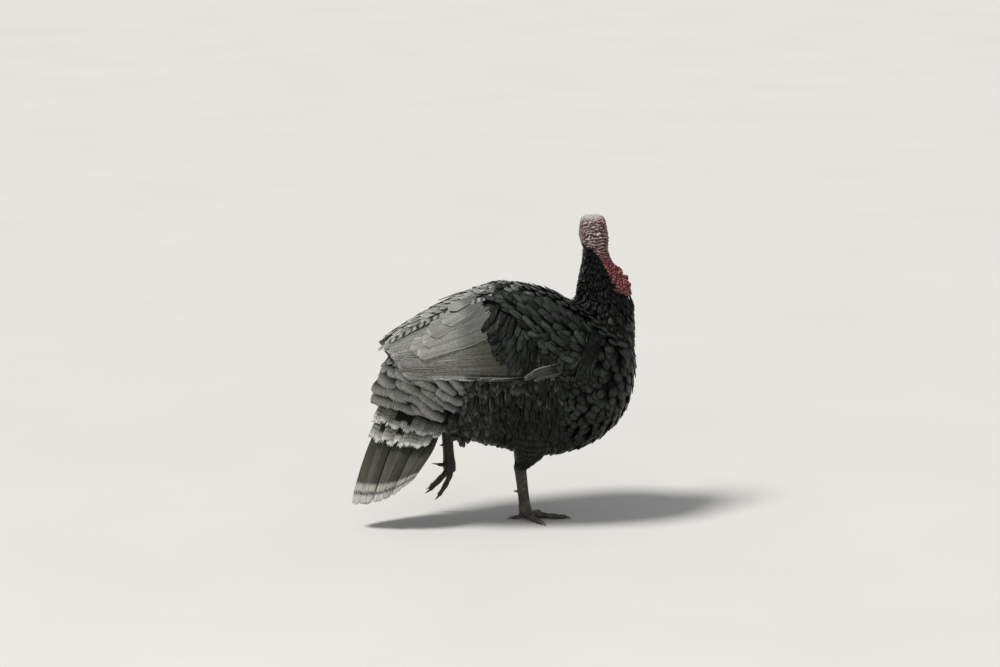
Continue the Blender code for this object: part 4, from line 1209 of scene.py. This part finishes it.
def neck_skin(high, low, rows=40, around=56):
    """The neck between two heights. Bare skin is at the full size, and feathered skin lies 4 to
    14 mm deeper."""
    down = np.linspace(NECK_TOP - high, NECK_TOP - low, rows)
    turn = np.arange(around) / around
    rings = neck(*np.broadcast_arrays(down[:, None], turn[None]))
    axis = rings.mean(1, keepdims=True)
    z = rings[..., 2]
    deep = 0.004 + 0.010 * (1 - ease(0.58, 0.72, z))
    depth = np.where(bare_neck(z, np.broadcast_to(turn, z.shape)), 0.0, deep)
    rings = rings - unit(rings - axis) * depth[..., None]
    return tube(rings, axis[0, 0], axis[-1, 0])


def object_of(name, shapes):
    """A plain mesh object of several closed shapes."""
    points, faces, start = [], [], 0
    for shape, groups in shapes:
        points.append(np.asarray(shape))
        faces += [(group + start) for group in facing_out(np.asarray(shape), groups)]
        start += len(shape)
    mesh = bpy.data.meshes.new(name)
    mesh.from_pydata(np.concatenate(points).tolist(), [], [row for face in faces for row in face.tolist()])
    made = bpy.data.objects.new(name, mesh)
    bpy.context.scene.collection.objects.link(made)
    return made


def applied(made):
    """The object with its modifiers' result as its mesh."""
    bpy.context.view_layer.update()
    mesh = bpy.data.meshes.new_from_object(made.evaluated_get(bpy.context.evaluated_depsgraph_get()))
    made.modifiers.clear()
    made.data = mesh
    return made


def fused(name, shapes, voxel, smooth):
    """Closed shapes melted into one, and smoothed."""
    made = object_of(name, shapes)
    melt = made.modifiers.new("melt", "REMESH")
    melt.mode, melt.voxel_size, melt.adaptivity = "VOXEL", voxel, 0.0
    relax = made.modifiers.new("relax", "SMOOTH")
    relax.factor, relax.iterations = 0.5, smooth
    return applied(made)


def head_core():
    """Head, neck, snood, wattle, eyelids, brows and throat, melted into one."""
    shapes = [head_shape(), neck_skin(0.770, 0.55)]
    snood = [(-0.0010, 0.0560, 0.8215, 0.0080), (-0.0020, 0.0810, 0.8220, 0.0072),
             (-0.0100, 0.0900, 0.8100, 0.0062), (-0.0155, 0.0915, 0.7900, 0.0058),
             (-0.0160, 0.0905, 0.7720, 0.0050), (-0.0150, 0.0895, 0.7600, 0.0028)]
    shapes.append(limb([(t, HEAD_X + x, y, z, r, r) for t, (x, y, z, r) in enumerate(snood)],
                       40, 20, (1, 0, 0.2)))
    wattle = [(0.000, 0.0700, 0.7800, 0.0045, 0.0080), (0.001, 0.0620, 0.7620, 0.0058, 0.0150),
              (0.002, 0.0520, 0.7400, 0.0070, 0.0170), (0.004, 0.0450, 0.7180, 0.0075, 0.0140),
              (0.008, 0.0410, 0.6960, 0.0060, 0.0080)]
    shapes.append(limb([(t, HEAD_X + x, y, z, w, h) for t, (x, y, z, w, h) in enumerate(wattle)],
                       36, 24, (0, 1, 0.3)))
    for sign in (1, -1):
        lid = ring_tube((HEAD_X + sign * 0.0282, EYE[1], EYE[2]), (0.0088, 0.0070), 0.0026)
        brow = ball((HEAD_X + sign * 0.021, EYE[1] - 0.002, EYE[2] + 0.0115), (0.009, 0.014, 0.0045))
        shapes += [lid, brow]
    shapes += [ball((HEAD_X, 0.044, 0.768), (0.013, 0.019, 0.020)),
               ball((HEAD_X + 0.001, 0.040, 0.742), (0.011, 0.017, 0.024))]
    # Fleshy knobs low on the front of the neck
    many = 34
    draw = np.random.default_rng(40)
    z = draw.uniform(0.652, 0.712, many)
    turn = draw.uniform(-62, 75, many) / 360
    for spot, size in zip(neck(NECK_TOP - z, turn), draw.uniform(0.0055, 0.0095, many)):
        shapes.append(ball(spot, (size, size, size * 0.9), rows=8, around=12))
    return fused("head_core", shapes, 0.00156, 4)


def leg_core():
    """Shanks, toes and thighs, melted into one. The right foot's sole is flat on the floor."""
    legs = []
    for side in ("right", "left"):
        floor = 0.0 if side == "right" else None
        legs.append(limb(shank_stations(side), 60, 32, (1, 0, 0), floor))
        legs += [limb(toe_stations(path, radius), 40, 20, up, floor)
                 for _, path, radius, _, _, up in toe_paths(side)]
        under_coat = [0.80, 0.80, 0.78, 0.72, 0.78]
        thigh = [(t, x, y, z, w * k, h * k) for (t, x, y, z, w, h), k in zip(THIGH[side], under_coat)]
        legs.append(limb(thigh[1:], 30, 28, THIGH_UP[side]))
    return fused("leg_core", legs, 0.0023, 3)


def trunk_core():
    """The trunk, COAT_DEPTH inside the surface that carries its feathers."""
    turn = np.linspace(0, math.pi, 40)[1:-1]
    x = (BREAST[0] + RUMP[0]) / 2 - (BREAST[0] - RUMP[0] - 2 * COAT_DEPTH) / 2 * np.cos(turn)
    middle, rise, drop, half = trunk_section(x)
    angle = np.linspace(0, 2 * math.pi, 60, endpoint=False)
    across, high = (signed_power(f(angle), 2 / TRUNK_POWER) for f in (np.cos, np.sin))
    tall = np.where(high > 0, rise[:, None], drop[:, None]) - COAT_DEPTH
    rings = np.stack([np.broadcast_to(x[:, None], tall.shape), (half[:, None] - COAT_DEPTH) * across,
                      middle[:, None] + np.maximum(tall, 0.004) * high], -1)
    return object_of("trunk_core", [tube(rings, rings[0].mean(0), rings[-1].mean(0))])


def wing_core(side):
    """A slab under the feathers of a folded wing."""
    s, v = np.meshgrid(np.linspace(0.05, 0.93, 30), np.linspace(0.08, 0.92, 14), indexing="ij")
    outer = wing(s, v) + [0, 0.014, 0]
    mirror = [1, 1 if side == "right" else -1, 1]
    return object_of("wing_core_" + side, [slab(outer * mirror, (outer + [0, 0.022, 0]) * mirror)])


def tail_core():
    """A slab in the root of the tail."""
    along, across = np.meshgrid(np.linspace(0.0, 0.34, 10), np.linspace(-0.9, 0.9, 16), indexing="ij")
    back = tail(along, across)
    return object_of("tail_core", [slab(back + [0.002, 0, 0], back + [0.012, 0, 0])])


def mesh_arrays(mesh):
    """The points, corners and normals of a mesh of triangles."""
    points = np.empty(len(mesh.vertices) * 3, np.float32)
    mesh.vertices.foreach_get("co", points)
    corners = np.empty(len(mesh.loops), np.int32)
    mesh.loops.foreach_get("vertex_index", corners)
    normals = np.empty(len(mesh.vertices) * 3, np.float32)
    mesh.vertices.foreach_get("normal", normals)
    return points.reshape(-1, 3).astype(float), corners.reshape(-1, 3), normals.reshape(-1, 3).astype(float)


def skin_core():
    """The whole body under its feathers as one closed mesh: points, corners and normals."""
    head = head_core()
    parts = [leg_core(), trunk_core(), wing_core("right"), wing_core("left"), tail_core()]
    group = bpy.data.collections.new("skin_parts")
    bpy.context.scene.collection.children.link(group)
    for part in parts:
        group.objects.link(part)
    join = head.modifiers.new("join", "BOOLEAN")
    join.operation, join.operand_type, join.solver, join.collection = "UNION", "COLLECTION", "EXACT", group
    whole = applied(head)
    whole.modifiers.new("triangles", "TRIANGULATE").quad_method = "BEAUTY"
    found = mesh_arrays(applied(whole).data)
    for part in (*parts, whole):
        bpy.data.objects.remove(part, do_unlink=True)
    bpy.data.collections.remove(group)
    return found


CROWN = np.array([0.50, 0.47, 0.45])
FLESH = np.array([0.25, 0.105, 0.10])
MAROON = np.array([0.022, 0.0055, 0.0050])
SCARLET = np.array([0.36, 0.046, 0.042])
BLUISH = np.array([0.17, 0.20, 0.27])
# The skin under the feathers is near-black: painted shade for the gaps between feathers
UNDER_FEATHER_SHADE = np.array([0.008, 0.008, 0.007])
LEG_BROWN = np.array([0.030, 0.026, 0.017])
LEG_PALE = np.array([0.092, 0.080, 0.060])


RIDGE_GAP, RIDGE_LENGTH = 0.0066, 0.0125           # between rows of ridges, and between their breaks
BEAD, GRAIN, SCALE = 0.0074, 0.0026, 0.0036        # across a neck bead, the skin's grain, a leg scale
SHIN_PLATE, TOE_PLATE = 0.0072, 0.0047             # along the plates of shank and toes
SHANK_LENGTH = 0.150
BARE_REACH = 0.14                                  # the bare neck is no further from HEAD_X
SKULL_TOP = 0.775                                  # all of the skin above here is bare


def groove(place):
    """1 at whole numbers, falling to 0 halfway between them."""
    return np.abs(place % 1.0 - 0.5) * 2


def head_relief(points, normals):
    """How far the skin of head and neck stands out, and the masks it is made from.

    Fleshy ridges, each broken into pieces, lie in rows that follow rings round the throat corner
    and below it run across the neck; a ridge's height is a raised cosine over its row. Beads
    take over lower down, and the skin has a fine grain: both stand between pebbles' crevices.
    """
    x, y, z = points.T
    out_x = x - HEAD_X
    on_head = ease(0.735, 0.762, z)
    bare = ease(0.600, 0.640, z) * (np.abs(out_x) < BARE_REACH)
    run = np.where(z > THROAT[1], np.arctan2(z - THROAT[1], THROAT[0] - y) * 0.052, z - THROAT[1])
    row = (run + 0.0030 * sway(points, 0.030, 50) + 0.0016 * sway(points, 0.012, 51)) / RIDGE_GAP
    turn = np.arctan2(out_x, 0.045 - y) * 0.036 / RIDGE_LENGTH + 3 * chance_at(np.floor(row)[:, None], 52)
    gap = groove(turn + 0.30 * sway(points, 0.010, 56))
    ridge = ease(0.05, 0.95, 0.5 - 0.5 * np.cos(2 * math.pi * row)) * (1 - 0.85 * ease(0.60, 0.98, gap))
    uneven = 0.70 + 0.30 * sway(points, 0.009, 55)
    face = ease(0.026, 0.046, y) * on_head
    crown = ease(0.832, 0.845, z + 0.0030 * sway(points, 0.007, 54)) * (1 - 0.6 * ease(0.045, 0.07, y))
    wrinkle = bare * (1 - 0.25 * crown) * (1 - 0.80 * face)
    bead = ease(0.0, 0.30, pebbles(points * (1.0, 1.0, 0.8), BEAD, 60))
    beads = bare * (1 - ease(0.700, 0.745, z)) * ease(-0.055, 0.0, x - 0.215)
    fine = ease(0.0, 0.35, pebbles(points, GRAIN, 64))
    push = (wrinkle * (1 - beads) * (0.0033 * ridge * uneven - 0.0020)
            + beads * (0.0032 * bead - 0.0015)
            + bare * (0.0007 + 0.0019 * crown + 0.0003 * face) * (fine - 0.5))
    ear = np.exp(-(((y - 0.020) / 0.0042) ** 2 + ((z - 0.806) / 0.0042) ** 2)) * (np.abs(out_x) > 0.02)
    push = push - 0.0022 * ear
    # The crown is squarer than a dome: its shoulders, where the skin faces half up, stand out
    upward = np.clip(normals[:, 2], 0, 1) ** 2
    push = push + 0.0048 * ease(0.806, 0.832, z) * 4 * upward * (1 - upward) * (1 - ease(0.035, 0.055, y))
    # Round the eyes the skin is smooth, with fine rings
    eye_out = np.hypot((y - EYE[1]) * 0.8, z - EYE[2])
    beside = np.abs(out_x) > 0.018
    near_eye = beside * np.exp(-(eye_out / 0.012) ** 2)
    push = push * (1 - near_eye) + near_eye * 0.0003 * np.cos(2 * math.pi * eye_out / 0.0026)
    return push, SimpleNamespace(
        bare=bare, ridge=ridge, uneven=uneven, face=face, crown=crown, wrinkle=wrinkle, bead=bead,
        beads=beads, fine=fine, ear=ear, near_eye=near_eye, snood=ease(0.080, 0.088, y) * on_head,
        lid=(1 - ease(0.0040, 0.0052, eye_out)) * beside)


def beside_line(points, start, end):
    """How far along the line from start to end each point is, as a share, and how far from it."""
    way = end - start
    share = (points - start) @ way / np.sum(way**2)
    return share, np.linalg.norm(points - start - way * share[:, None], axis=1)


def leg_relief(points, normals):
    """Which points are on the bare legs, and how deep in a crease each is: between broad plates
    down the fronts of shanks and toes, and between small scales elsewhere."""
    x, y, z = points.T
    leg = (z < 0.165) & (x > -0.06) | (x < -0.15) & (z < 0.292) & (y > 0.04)
    front = np.zeros(len(points))
    crease = 1 - ease(0.0, 0.25, pebbles(points, SCALE, 70))
    for side in ("right", "left"):
        share, off = beside_line(points, np.array(HOCK[side]), np.array(FOOT[side]))
        here = (share > -0.15) & (share < 1.02) & (off < 0.03)
        ahead = here * ease(0.05, 0.45, normals[:, 0])
        deep = groove(share * SHANK_LENGTH / SHIN_PLATE + 0.4 * np.abs(normals[:, 1]))
        crease = np.where(ahead > 0.3, ease(0.80, 0.97, deep), crease)
        front = np.maximum(front, ahead)
        for _, path, radius, _, _, up in toe_paths(side):
            root, tip = np.array(path[0]), np.array(path[3])
            share, off = beside_line(points, root, tip)
            here = (share > 0.10) & (share < 1.05) & (off < radius * 1.9)
            top = here * ease(0.1, 0.5, normals @ unit(np.array(up)))
            deep = groove(share * np.linalg.norm(tip - root) / TOE_PLATE)
            crease = np.where((top > 0.3) & (front < 0.3), ease(0.78, 0.96, deep), crease)
            front = np.maximum(front, top)
    return leg, crease


def bare_place(points):
    """Whether points of the skin are on the bare head or neck."""
    x, y, z = points.T
    middle = through([(k[0], k[1]) for k in NECK_STATIONS], z)[..., 0]
    turn = np.arctan2(y, x - middle) / (2 * math.pi)
    return bare_neck(np.minimum(z, 0.779), turn) & (np.abs(x - HEAD_X) < BARE_REACH) | (z > SKULL_TOP)


def head_tint(core, points, mask):
    """Colours of head and neck, by place on the core. Ridges are flesh-coloured, redder down the neck and on
    the side ahead, with pale tops; the hollows between them are maroon, partly the skin's deeper red and
    partly painted shade."""
    x, y, z = core.T
    hollow = (1 - np.clip(np.where(mask.beads > 0.5, mask.bead, mask.ridge), 0, 1)) ** 0.75
    blotch = 0.5 + 0.5 * sway(points, 0.030, 53)
    red = (0.85 * (1 - ease(0.69, 0.775, z))
           + 0.60 * ease(-0.004, 0.030, x - HEAD_X + 0.3 * (0.80 - z)) * (z > 0.66))
    tint = blend(FLESH, SCARLET, np.clip(0.85 * red + 0.25 * (blotch - 0.5), 0, 1))
    tops = ((1.00 - 0.70 * red) * ease(0.28, 0.80, mask.ridge * mask.uneven) * (1 - mask.beads)
            + 0.25 * mask.beads * ease(0.6, 1.0, mask.bead) * blotch - 0.15 * mask.face)
    gaps = hollow * (mask.wrinkle + 0.12 * mask.face) + mask.beads * (1 - mask.bead) * 0.9
    wave = 0.005 * sway(points, 0.012, 57) + 0.002 * sway(points, 0.005, 58)
    dewlap = ease(0.044, 0.058, y + wave) * (1 - ease(0.764, 0.780, z + wave)) * ease(0.655, 0.68, z)
    # Painted shade also darkens the crevices of the grain, of dewlap and snood, and the ear opening; the
    # pale peaks of the beads are painted highlights
    for colour, share in (
            (CROWN, np.clip(tops, 0, 1)),
            (MAROON, np.clip(gaps, 0, 0.97)),
            (MAROON, 0.30 * (1 - mask.fine) * mask.bare * (1 - mask.crown * 0.5)),
            (CROWN * 1.05, np.clip(mask.crown * (0.25 + 0.65 * mask.fine)
                                   + 0.25 * mask.face * blotch, 0, 1)),
            (BLUISH, np.clip(0.70 * mask.near_eye
                             + 0.45 * mask.face * (1 - mask.crown) * (1 - 0.6 * blotch), 0, 1)),
            (SCARLET * 0.9, mask.snood),
            (SCARLET, dewlap * (0.55 + 0.35 * mask.fine) * (1 - 0.5 * hollow)),
            (MAROON, 0.55 * np.maximum(dewlap, mask.snood) * (1 - mask.fine)),
            (MAROON, 0.80 * mask.lid),
            (MAROON, 0.8 * mask.ear)):
        tint = blend(tint, colour, share)
    return tint


def leg_tint(core, points, crease):
    """Colours of the legs: brown with paler patches, most of them on the toes, and creases darkened by
    painted shade. The upper shanks, under the body, and the raised leg, in its shadow, are darker as painted
    shade."""
    x, _, z = core.T
    patches = 0.30 + 0.25 * sway(points, 0.03, 72) + 0.40 * sway(points, 0.012, 73)
    tint = blend(LEG_BROWN, LEG_PALE * 1.2, np.clip(patches + 0.35 * (1 - ease(0.02, 0.09, z)), 0, 1))
    tint = blend(tint, LEG_BROWN * 0.22, 0.92 * crease)
    return tint * (1 - 0.55 * ease(0.09, 0.15, z) - 0.20 * (x < -0.1))[:, None]


def skin_piece():
    """The skin, with its ridges, beads, plates and scales as shape and its colours by place."""
    core, corners, normals = skin_core()
    push, mask = head_relief(core, normals)
    leg, crease = leg_relief(core, normals)
    push = np.where(leg, 0.0002 - 0.0007 * crease, push)
    points = core + normals * push[:, None]
    points[:, 2] = np.maximum(points[:, 2], 0.0)       # a flat sole: nothing goes below the floor
    bare = bare_place(core)
    # Feathered skin gets the near-black painted shade colour
    tint = np.where(bare[:, None], head_tint(core, points, mask), UNDER_FEATHER_SHADE)
    tint = blend(tint, leg_tint(core, points, crease), leg * 1.0)
    return solid("skin", points, [corners], skin_finish(), {"shine": (bare | leg) * 1.0}, tint)


def horn_piece(name, stations, steps, points, up, finish, floor=None, pits=()):
    """A limb of horn, its along running from 0 at the root to 1 at the tip. pits are the centres
    and radii of dents, such as nostrils: bell curves 1.6 mm deep."""
    shape, faces = limb(stations, steps, points, up, floor)
    way = np.concatenate([np.repeat(np.linspace(0, 1, steps), points), [0.0, 1.0]])
    pit = np.zeros(len(shape))
    for centre, radii in pits:
        pit = np.maximum(pit, np.exp(-np.sum(((shape - centre) / radii) ** 2, axis=1)))
    axis = np.concatenate([np.repeat(shape[:-2].reshape(steps, points, 3).mean(1), points, 0), shape[-2:]])
    shape = shape - unit(shape - axis) * (pit * 0.0016)[:, None]
    return solid(name, shape, faces, finish, {"along": way, "pit": pit})


def claw_stations(root, tip, radius, sag, up):
    """Stations of a claw or spur that bends sag towards up on its way to the tip."""
    middle = root + (tip - root) * 0.55 + unit(np.array(up, float)) * sag
    return [(0, *root, radius, radius * 0.9), (1, *middle, radius * 0.75, radius * 0.7),
            (2, *tip, radius * 0.26, radius * 0.22)]


def hard_parts():
    """Eyes, bill, claws and spurs, each in the place of its solid."""
    eye_look = eye_finish()
    bill_look = horn_finish("bill_horn", srgb(74, 60, 50), srgb(200, 184, 152))
    claw_look = horn_finish("claw_horn", srgb(52, 44, 36), srgb(140, 124, 100))
    for side, sign in (("right", 1), ("left", -1)):
        centre = np.array([HEAD_X + sign * (EYE[0] - EYE_RADIUS * 0.52), EYE[1], EYE[2]])
        shape, faces = ball((0, 0, 0), (EYE_RADIUS,) * 3, rows=30, around=40)
        shape = np.stack([shape[:, 2] * sign, shape[:, 0], shape[:, 1]], -1)
        ring = np.hypot(shape[:, 1], shape[:, 2]) / EYE_RADIUS + 2.0 * (shape[:, 0] * sign < 0)
        eye = solid("eye_ball_" + side, shape + centre, facing_out(shape, faces), eye_look,
                    {"ring": ring, "turn": np.arctan2(shape[:, 2], shape[:, 1])})
        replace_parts(eye, "eye_" + side)
    y, z = BILL_TIP
    upper = horn_piece("bill_upper_horn", [(0, HEAD_X, 0.060, 0.8010, 0.0105, 0.0095),
                                           (1, HEAD_X, FACE_END + 0.006, 0.8005, 0.0102, 0.0085),
                                           (2, HEAD_X, 0.097, 0.7960, 0.0078, 0.0068),
                                           (3, HEAD_X, y - 0.003, z + 0.009, 0.0042, 0.0042),
                                           (3.6, HEAD_X, y, z + 0.002, 0.0016, 0.0018)], 70, 56, (0, 0, 1),
                       bill_look, pits=[((HEAD_X + sign * 0.0092, 0.0865, 0.8025), (0.004, 0.0032, 0.0016))
                                        for sign in (1, -1)])
    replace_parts(upper, "bill_upper")
    lower = horn_piece("bill_lower_horn", [(0, HEAD_X, 0.060, 0.7872, 0.0088, 0.0055),
                                           (1, HEAD_X, 0.085, 0.7868, 0.0080, 0.0050),
                                           (2, HEAD_X, 0.105, 0.7835, 0.0035, 0.0028)], 30, 28, (0, 0, 1),
                       bill_look)
    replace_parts(lower, "bill_lower")
    for side in ("right", "left"):
        floor = 0.0 if side == "right" else None
        sag = 0.0014 if side == "right" else 0.002
        for name, _, radius, root, tip, up in toe_paths(side):
            stations = claw_stations(root, tip, radius * CLAW_SHARE, sag, up)
            claw = horn_piece(f"claw_horn_{side}_{name}", stations, 20, 16, up, claw_look, floor)
            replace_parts(claw, f"claw_{side}_{name}")
        inward = 1 if side == "right" else -1
        hock, foot = np.array(HOCK[side]), np.array(FOOT[side])
        root = hock + (foot - hock) * 0.62 + [-0.006, 0.004 * inward, 0]
        tip = root + [-0.019, 0.006 * inward, 0.004]
        spur = horn_piece("spur_horn_" + side, claw_stations(root, tip, 0.0052, 0.0015, (0, 0, 1)), 20, 16,
                          (0, 0, 1), claw_look)
        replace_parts(spur, "spur_" + side)


# --------------------------------------------------------------------------- the bird
skin = skin_piece()
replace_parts(skin, *SKINNED)
hard_parts()

dark = plumage_finish("dark_plumage", 1.2, 0.34, 0.11)
loose = plumage_finish("loose_plumage", 1.6, 0.35, 0.11)
pale = plumage_finish("pale_plumage", 1.1, 0.60, 0.20)

coat("trunk_feathers", [trunk_coat()], dark)
coat("neck_feathers", [neck_coat()], loose)
coat("back_feathers", back_coat(), loose)
for side in ("left", "right"):
    coat("thigh_feathers_" + side, [thigh_coat(side)], dark)
coverts = [shoulder_scallops(), dark_fan(), forearm_rows(), lower_edge(), upper_edge()]
quills = wing_quills()
flank_side = flank_coat()
for side in ("right", "left"):
    coat("flank_feathers_" + side, [flank_side], loose, mirror=side == "left")
    coat("wing_coverts_" + side, coverts, loose, mirror=side == "left")
    coat("wing_quills_" + side, quills, pale, mirror=side == "left")
coat("tail_coverts", rump_coat(), pale)
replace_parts(coat("tail_quills", [tail_coat()], pale), "tail")


# --------------------------------------------------------------------------- floor, light, camera
def floor_plane():
    """A wide floor just under the feet."""
    grid = np.linspace(-45, 45, 9)
    x, y = np.meshgrid(grid, grid, indexing="ij")
    mesh = bpy.data.meshes.new("studio_floor")
    i, j = np.meshgrid(np.arange(8), np.arange(8), indexing="ij")
    a = (i * 9 + j).ravel()
    mesh.from_pydata(np.stack([x.ravel(), y.ravel(), 0 * x.ravel() - 0.0005], -1).tolist(), [],
                     np.stack([a, a + 9, a + 10, a + 1], -1).tolist())
    mesh.materials.append(floor_finish())
    made = bpy.data.objects.new("studio_floor", mesh)
    bpy.context.scene.collection.objects.link(made)


def lamp(name, place, aim, size, power, tint):
    """A rectangular lamp at place that shines towards aim."""
    light = bpy.data.lights.new(name, "AREA")
    light.shape, light.energy, light.color = "RECTANGLE", power, tint
    light.size, light.size_y = size
    made = bpy.data.objects.new(name, light)
    bpy.context.scene.collection.objects.link(made)
    made.location = place
    made.rotation_euler = look(np.subtract(aim, place))
    return made


def look(direction):
    """The turn that points a lamp's or camera's -Z along direction, with +Y up."""
    return Vector(direction.tolist()).to_track_quat("-Z", "Y").to_euler()


floor_plane()
sun = bpy.data.lights.new("soft_sun", "SUN")
sun.energy, sun.angle, sun.color = 3.2, math.radians(16), (1.0, 0.985, 0.955)
sun_place = bpy.data.objects.new("soft_sun", sun)
bpy.context.scene.collection.objects.link(sun_place)
sun_place.rotation_euler = look(np.array([0.55, 0.16, -1.0]))
lamp("front", (-2.6, -4.6, 2.4), (0, 0, 0.45), (2.6, 2.0), 30, (1.0, 0.98, 0.95))

world = bpy.data.worlds.new("studio")
world.use_nodes = True
world.node_tree.nodes["Background"].inputs["Color"].default_value = (0.93, 0.96, 1.0, 1.0)
world.node_tree.nodes["Background"].inputs["Strength"].default_value = 0.38
bpy.context.scene.world = world
bpy.context.scene.view_settings.view_transform = "Standard"

AZIMUTH, ELEVATION, DISTANCE = math.radians(-12), math.radians(11), 8.5
AIM_RIGHT, AIM_UP = -0.0616, 0.519                 # the target, along the view's right and up
LENS, SENSOR = 109.3, 36.0                         # millimetres
right_way = np.array([math.cos(AZIMUTH), math.sin(AZIMUTH), 0.0])
up_way = np.array([-math.sin(AZIMUTH) * math.sin(ELEVATION), math.cos(AZIMUTH) * math.sin(ELEVATION),
                   math.cos(ELEVATION)])
target = right_way * AIM_RIGHT + up_way * AIM_UP + SHIFT
stand = target + DISTANCE * np.array([math.sin(AZIMUTH) * math.cos(ELEVATION),
                                      -math.cos(AZIMUTH) * math.cos(ELEVATION), math.sin(ELEVATION)])
lens = bpy.data.cameras.new("camera")
lens.lens, lens.sensor_width = LENS, SENSOR
camera = bpy.data.objects.new("camera", lens)
bpy.context.scene.collection.objects.link(camera)
camera.location = stand.tolist()
camera.rotation_euler = look(target - stand)
bpy.context.scene.camera = camera
